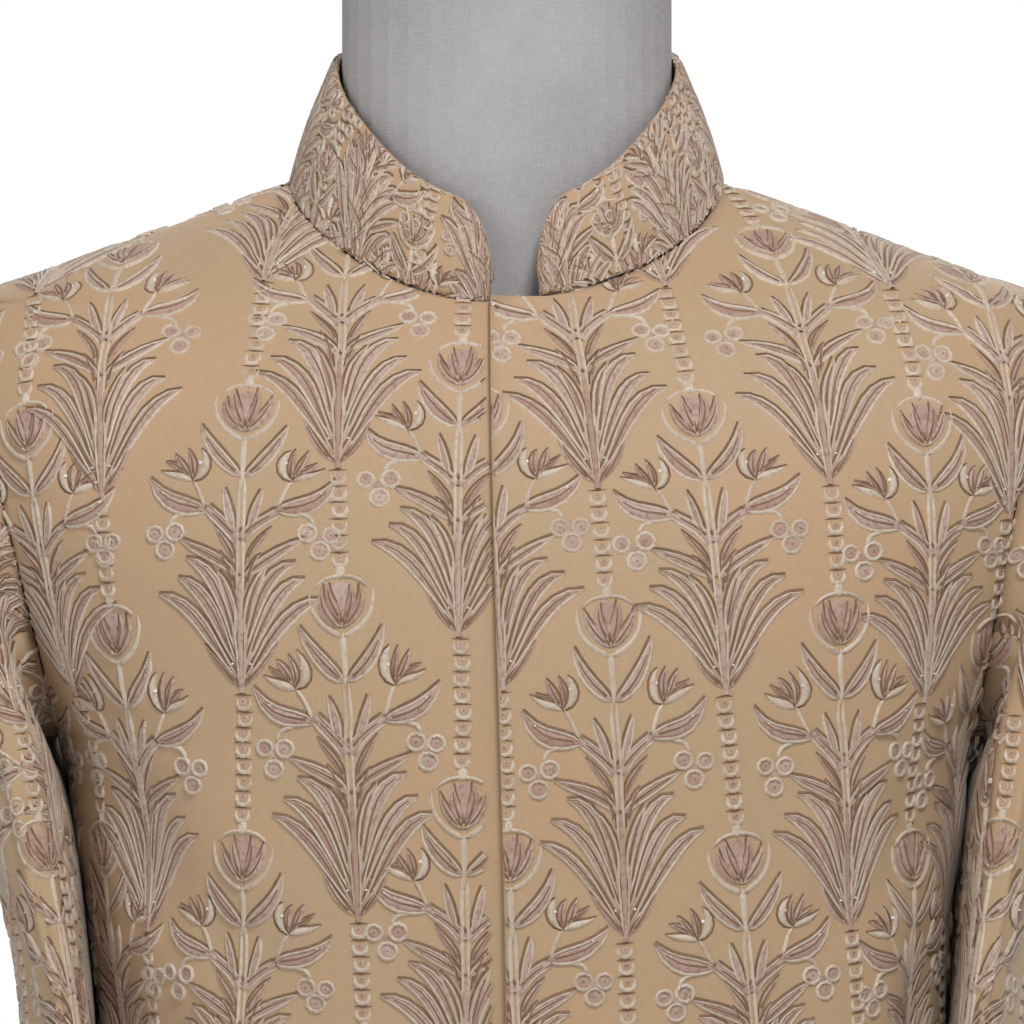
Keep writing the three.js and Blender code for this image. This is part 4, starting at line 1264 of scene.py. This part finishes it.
def evenSpots(piece, size, firstColumn, firstHeight):
    flat = piece["flat"]
    low, high = flat[..., 0].min() - 40, flat[..., 0].max() + 40
    spots = []
    first = math.floor(low / (layout["spacing"] * size)) - 1
    last = math.ceil(high / (layout["spacing"] * size)) + 1
    for k in range(first, last + 1):
        across = firstColumn + k * layout["spacing"] * size + rng.normal(0, layout["acrossJitter"] * size)
        drop = (k % 2) * layout["repeat"] * size / 2
        bud = np.array([across, firstHeight + drop + rng.normal(0, layout["alongJitter"] * size)])
        spots += columnOf(flat, bud, rng.normal(0, layout["columnLean"]), k % 2 == 0, size)
    return spots


def carriedSpots(spots, fromPiece, fromEdge, toPiece, toEdge):
    # Moves a plant that crosses a seam from one panel's table place to the next panel's
    goFrom, flatFrom = fromPiece["points"][fromEdge], fromPiece["flat"][fromEdge]
    goTo, flatTo = toPiece["points"][toEdge], toPiece["flat"][toEdge]
    away = np.linalg.norm(goFrom[:, None] - goTo[None], axis=-1)
    mates = np.argmin(away, axis=1)
    joined = away[np.arange(len(goFrom)), mates] < layout["seamJoin"]
    carried = []
    for spot in spots:
        near = joined & isNear(flatFrom - spot["at"], layout["seamReach"], spot["size"])
        if np.count_nonzero(near) < 3:
            continue
        have, goal = flatFrom[near], flatTo[mates[near]]
        a, b = have - have.mean(axis=0), goal - goal.mean(axis=0)
        swing = math.atan2(np.sum(a[:, 0] * b[:, 1] - a[:, 1] * b[:, 0]), np.sum(a * b))
        turned = np.array([[math.cos(swing), math.sin(swing)], [-math.sin(swing), math.cos(swing)]])
        at = (spot["at"] - have.mean(axis=0)) @ turned + goal.mean(axis=0)
        carried.append({**spot, "at": at, "lean": spot["lean"] + math.degrees(swing)})
    return carried


def plantMiddle(spot):
    turn = math.radians(spot["lean"])
    down = np.array([math.sin(turn), -math.cos(turn)])
    return spot["at"] + down * plant["foot"] / 2 * spot["size"]


def withRoom(spots, taken, across, along):
    kept = []
    for spot in spots:
        reach = [np.abs(plantMiddle(spot) - plantMiddle(other)) for other in taken]
        if all(r[0] > across or r[1] > along for r in reach):
            kept.append(spot)
    return kept


def nodesInput(group, label, kind, value=None):
    socket = group.interface.new_socket(label, in_out="INPUT", socket_type=kind)
    if value is not None:
        socket.default_value = value
    return socket.identifier


stitching = bpy.data.node_groups.new("stitch plants on cloth", "GeometryNodeTree")
stitching.interface.new_socket("Geometry", in_out="OUTPUT", socket_type="NodeSocketGeometry")
spotsInput = nodesInput(stitching, "Spots", "NodeSocketGeometry")
plantsInput = nodesInput(stitching, "Plants", "NodeSocketCollection")
surfaceInput = nodesInput(stitching, "Cloth Surface", "NodeSocketObject")
reliefInput = nodesInput(stitching, "Relief", "NodeSocketFloat", 1.0)
begin, finish = stitching.nodes.new("NodeGroupInput"), stitching.nodes.new("NodeGroupOutput")


def named(kind, name):
    node = addNode(stitching, "GeometryNodeInputNamedAttribute", {"data_type": kind})
    node.inputs["Name"].default_value = name
    return node.outputs["Attribute"]


plants = addNode(stitching, "GeometryNodeCollectionInfo", Collection=begin.outputs["Plants"])
plants.inputs["Separate Children"].default_value = True
plants.inputs["Reset Children"].default_value = True
turn = addNode(stitching, "ShaderNodeCombineXYZ", Z=named("FLOAT", "lean"))
placed = stitching.nodes.new("GeometryNodeInstanceOnPoints")
stitching.links.new(begin.outputs["Spots"], placed.inputs["Points"])
stitching.links.new(plants.outputs[0], placed.inputs["Instance"])
placed.inputs["Pick Instance"].default_value = True
stitching.links.new(named("INT", "shape"), placed.inputs["Instance Index"])
stitching.links.new(turn.outputs[0], placed.inputs["Rotation"])
real = addNode(stitching, "GeometryNodeRealizeInstances", Geometry=placed.outputs[0])
surface = addNode(stitching, "GeometryNodeObjectInfo", Object=begin.outputs["Cloth Surface"])
position = stitching.nodes.new("GeometryNodeInputPosition")
place = addNode(stitching, "ShaderNodeSeparateXYZ", Vector=position.outputs[0])
onTable = addNode(stitching, "ShaderNodeCombineXYZ", X=place.outputs[0], Y=place.outputs[1])


def sampleCloth(value):
    node = stitching.nodes.new("GeometryNodeSampleUVSurface")
    node.data_type = "FLOAT_VECTOR"
    stitching.links.new(surface.outputs["Geometry"], node.inputs[0])
    stitching.links.new(value, node.inputs["Value"])
    stitching.links.new(named("FLOAT_VECTOR", "flat"), node.inputs[2])
    stitching.links.new(onTable.outputs[0], node.inputs["Sample UV"])
    return node


clothAt = sampleCloth(position.outputs[0])
outwardAt = sampleCloth(named("FLOAT_VECTOR", "outward"))
missing = addNode(stitching, "FunctionNodeBooleanMath", {"operation": "NOT"},
                  input0=clothAt.outputs["Is Valid"])
kept = addNode(stitching, "GeometryNodeDeleteGeometry", {"domain": "POINT"}, Geometry=real.outputs[0],
               Selection=missing.outputs[0])
raised = mathNode(stitching, "MULTIPLY", place.outputs[2], begin.outputs["Relief"])
lifted = addNode(stitching, "ShaderNodeVectorMath", {"operation": "SCALE"},
                 Vector=outwardAt.outputs[0], Scale=raised)
lies = addNode(stitching, "ShaderNodeVectorMath", {"operation": "ADD"},
               input0=clothAt.outputs[0], input1=lifted.outputs[0])
laid = addNode(stitching, "GeometryNodeSetPosition", Geometry=kept.outputs[0], Position=lies.outputs[0])
last = laid.outputs[0]
for kind, finishMaterial in enumerate(threadMaterials):
    same = addNode(stitching, "FunctionNodeCompare", {"data_type": "INT", "operation": "EQUAL"})
    stitching.links.new(named("INT", "threadKind"), same.inputs[2])
    same.inputs[3].default_value = kind
    dressed = addNode(stitching, "GeometryNodeSetMaterial", Geometry=last, Selection=same.outputs[0])
    dressed.inputs["Material"].default_value = finishMaterial
    last = dressed.outputs[0]
stitching.links.new(last, finish.inputs[0])


def stitchPanel(name, pieceName, spots, freeEdges, coveredColumns=0):
    surfaceObject = lieSurface("stitching surface", clothPieces[pieceName], freeEdges, coveredColumns)
    mesh = bpy.data.meshes.new(name)
    mesh.from_pydata([(spot["at"][0] * mm, spot["at"][1] * mm, 0) for spot in spots], [], [])
    for key, kind in (("lean", "FLOAT"), ("shape", "INT")):
        values = [math.radians(spot[key]) if key == "lean" else spot[key] for spot in spots]
        mesh.attributes.new(key, kind, "POINT").data.foreach_set("value", values)
    carrier = addObject("stitch spots", mesh)
    modifier = carrier.modifiers.new("stitching", "NODES")
    modifier.node_group = stitching
    modifier[plantsInput] = plantShapes
    modifier[surfaceInput] = surfaceObject
    modifier[reliefInput] = layout["relief"]
    bpy.context.view_layer.update()
    view = bpy.context.evaluated_depsgraph_get()
    made = bpy.data.meshes.new_from_object(carrier.evaluated_get(view), depsgraph=view)
    made.name = name
    bpy.data.objects.remove(carrier)
    bpy.data.objects.remove(surfaceObject)
    obj = addObject(name, made)
    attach(obj, "root")
    clothPieces[pieceName]["thread"] = obj
    print(name, "plants", len(spots), "triangles", triangles(made))


# Edges of the panels' grids that are sewn together
sideEdge = (slice(None), -1)
capEdge = (0, slice(None))
for word, side in (("left", 1), ("right", -1)):
    front, back = clothPieces[f"coat_front_{word}"], clothPieces[f"coat_back_{word}"]
    upper, under = clothPieces[f"coat_sleeve_{word}_upper"], clothPieces[f"coat_sleeve_{word}_under"]
    onFront = frontSpots(word)
    overShoulder = carriedSpots(onFront, front, sideEdge, back, sideEdge)
    onBack = evenSpots(back, 1.0, layout["spacing"] / 2, layout["backBud"])
    onBack = withRoom(onBack, overShoulder, layout["roomAcross"], layout["roomOnBack"]) + overShoulder
    overCap = carriedSpots(onFront, front, sideEdge, upper, capEdge)
    onUpper = evenSpots(upper, 1.0, 0, layout["sleeveBud"])
    onUpper = withRoom(onUpper, overCap, layout["roomAcross"], layout["roomOnSleeve"]) + overCap
    onUnder = evenSpots(under, 1.0, layout["spacing"] / 2, layout["underBud"])
    # the right front has no thread where the left one covers it
    shares = np.linspace(-coat["underlap"], coat["underarmHalf"], coat["columns"] + 1)
    covered = 0 if side > 0 else int(np.argmax(shares > 2))
    frontEdges = ("low", "start") if side > 0 else ("low",)
    stitchPanel(f"embroidery_front_{word}", f"coat_front_{word}", onFront, frontEdges, covered)
    stitchPanel(f"embroidery_back_{word}", f"coat_back_{word}", onBack, ("low",))
    for part, spots in (("upper", onUpper), ("under", onUnder)):
        stitchPanel(f"embroidery_sleeve_{word}_{part}", f"coat_sleeve_{word}_{part}", spots, ("high",))
onCollar = []
for shift, drop in ((0, 1), (layout["collarShift"], layout["collarDrop"])):
    onCollar += evenSpots(clothPieces["coat_collar"], collarSize, shift, drop * plant["foot"] * collarSize)
stitchPanel("embroidery_collar", "coat_collar", onCollar, ("start", "end", "high"))
for made in list(plantShapes.objects):
    bpy.data.objects.remove(made)
bpy.data.collections.remove(plantShapes)


# The cloth's own table places for its weave, and its material


for name, piece in clothPieces.items():
    points, flat, obj = piece["points"], piece["flat"], piece["object"]
    mesh = obj.data
    onRim = np.array([flat[place] for place in rimLoop(*points.shape[:2])])
    table = np.concatenate([flat.reshape(-1, 2), flat.reshape(-1, 2), onRim]) * mm
    index = np.zeros(len(mesh.loops), int)
    mesh.loops.foreach_get("vertex_index", index)
    layer = mesh.uv_layers.new(name="cloth")
    layer.uv.foreach_set("vector", table[index].ravel())
    mesh.materials.append(clothMaterial)


# Grey slubbed linen of the form, and the painted metal of its cap and stand

linenLook = {
    "colour": (0.43, 0.415, 0.415, 1), "other": (0.375, 0.36, 0.36, 1), "slubColour": (0.56, 0.56, 0.57, 1),
    "blotch": 22.0, "threads": 2500.0, "slub": 1.0, "slubStart": 0.35, "neckRound": 0.065,
    "roughness": 0.9, "bump": 0.3, "bumpDeep": 0.0004,
}
linenMaterial, tree, shader = newMaterial("grey slubbed linen", linenLook["roughness"])
place = addNode(tree, "ShaderNodeTexCoord").outputs["Object"]
split = addNode(tree, "ShaderNodeSeparateXYZ", Vector=place)
around = mathNode(tree, "ARCTAN2", split.outputs[0], split.outputs[1])
around = mathNode(tree, "MULTIPLY", around, linenLook["neckRound"])
onNeck = addNode(tree, "ShaderNodeCombineXYZ", X=around, Y=split.outputs[2])
weave = placeGroup(tree, weaveGroup, Vector=onNeck.outputs[0], Threads=linenLook["threads"],
                   Slub=linenLook["slub"])
blotch = placeGroup(tree, blotchGroup, Vector=place, Scale=linenLook["blotch"],
                    Colour=linenLook["colour"], Other=linenLook["other"])
slubs = mathNode(tree, "SUBTRACT", weave.outputs["Slubs"], linenLook["slubStart"])
slubs = addNode(tree, "ShaderNodeClamp", Value=slubs).outputs[0]
toned = mixColour(tree, slubs, blotch.outputs["Colour"], linenLook["slubColour"])
tree.links.new(toned, shader.inputs["Base Color"])
bumpInto(tree, shader, weave.outputs["Height"], linenLook["bump"], linenLook["bumpDeep"])

metalLook = {
    "colour": (0.03, 0.03, 0.033, 1), "other": (0.045, 0.045, 0.05, 1), "blotch": 60.0, "grain": 900.0,
    "smooth": 0.3, "rough": 0.5, "bump": 0.15, "bumpDeep": 0.0002,
}
metalMaterial, tree, shader = newMaterial("dark painted steel", metalLook["rough"])
place = addNode(tree, "ShaderNodeTexCoord").outputs["Object"]
blotch = placeGroup(tree, blotchGroup, Vector=place, Scale=metalLook["blotch"],
                    Colour=metalLook["colour"], Other=metalLook["other"])
tree.links.new(blotch.outputs["Colour"], shader.inputs["Base Color"])
grain = addNode(tree, "ShaderNodeTexNoise", Vector=place, Scale=metalLook["grain"], Detail=2.0)
rough = addNode(tree, "ShaderNodeMapRange", Value=grain.outputs["Fac"])
rough.inputs["To Min"].default_value = metalLook["smooth"]
rough.inputs["To Max"].default_value = metalLook["rough"]
tree.links.new(rough.outputs[0], shader.inputs["Roughness"])
bumpInto(tree, shader, grain.outputs["Fac"], metalLook["bump"], metalLook["bumpDeep"])
formFinish = {
    "form_torso": linenMaterial, "form_neck_cap": metalMaterial,
    "form_pole": metalMaterial, "form_base": metalMaterial,
}
for node, finishMaterial in formFinish.items():
    data = bpy.data.objects[node].data
    data.materials.clear()
    data.materials.append(finishMaterial)
print("materials set")


# Floor, camera and lights

view = {
    "target": (0.002, 0.0, 1.303),
    "distance": 2.5,
    "lens": 228,
    "floorRadius": 5.0, "floorSides": 64, "floorColour": (0.85, 0.85, 0.85, 1),
    "lampAim": (0, 0, 1.2), "ambient": 0.35,
}
floor = bpy.data.meshes.new("floor")
angles = [2 * math.pi * k / view["floorSides"] for k in range(view["floorSides"])]
ring = [(view["floorRadius"] * math.cos(a), view["floorRadius"] * math.sin(a), 0) for a in angles]
floor.from_pydata(ring, [], [tuple(range(view["floorSides"]))])
floorObject = addObject("studio_floor", floor)
floorMaterial, tree, shader = newMaterial("pale floor", 0.85)
shader.inputs["Base Color"].default_value = view["floorColour"]
floor.materials.append(floorMaterial)

camera = bpy.data.cameras.new("front camera")
camera.lens = view["lens"]
camera.sensor_width = 36
cameraObject = bpy.data.objects.new("front camera", camera)
bpy.context.scene.collection.objects.link(cameraObject)
cameraObject.location = Vector(view["target"]) + Vector((0, -view["distance"], 0))
cameraObject.rotation_euler = (math.pi / 2, 0, 0)
bpy.context.scene.camera = cameraObject

lamps = [
    {"name": "key softbox", "at": (0.7, -2.4, 3.7), "size": 0.9, "power": 74},
    {"name": "fill softbox", "at": (-2.6, -2.9, 1.6), "size": 2.4, "power": 26},
    {"name": "back softbox", "at": (0.4, 3.2, 2.8), "size": 2.4, "power": 40},
]
for lamp in lamps:
    light = bpy.data.lights.new(lamp["name"], "AREA")
    light.size = lamp["size"]
    light.energy = lamp["power"]
    lightObject = bpy.data.objects.new(lamp["name"], light)
    bpy.context.scene.collection.objects.link(lightObject)
    lightObject.location = lamp["at"]
    aim = Vector(view["lampAim"]) - Vector(lamp["at"])
    lightObject.rotation_euler = aim.to_track_quat("-Z", "Y").to_euler()
    lightObject.visible_camera = False

# White behind the coat, and a weaker white light all round it
world = bpy.data.worlds.new("studio")
bpy.context.scene.world = world
world.use_nodes = True
tree = world.node_tree
ambient = tree.nodes["Background"]
ambient.inputs["Color"].default_value = (1, 1, 1, 1)
ambient.inputs["Strength"].default_value = view["ambient"]
backdrop = addNode(tree, "ShaderNodeBackground", Color=(1, 1, 1, 1), Strength=1.0)
seen = addNode(tree, "ShaderNodeLightPath")
shown = addNode(tree, "ShaderNodeMixShader", input0=seen.outputs["Is Camera Ray"],
                input1=ambient.outputs[0], input2=backdrop.outputs[0])
tree.links.new(shown.outputs[0], tree.nodes["World Output"].inputs["Surface"])
bpy.context.scene.view_settings.view_transform = "Standard"
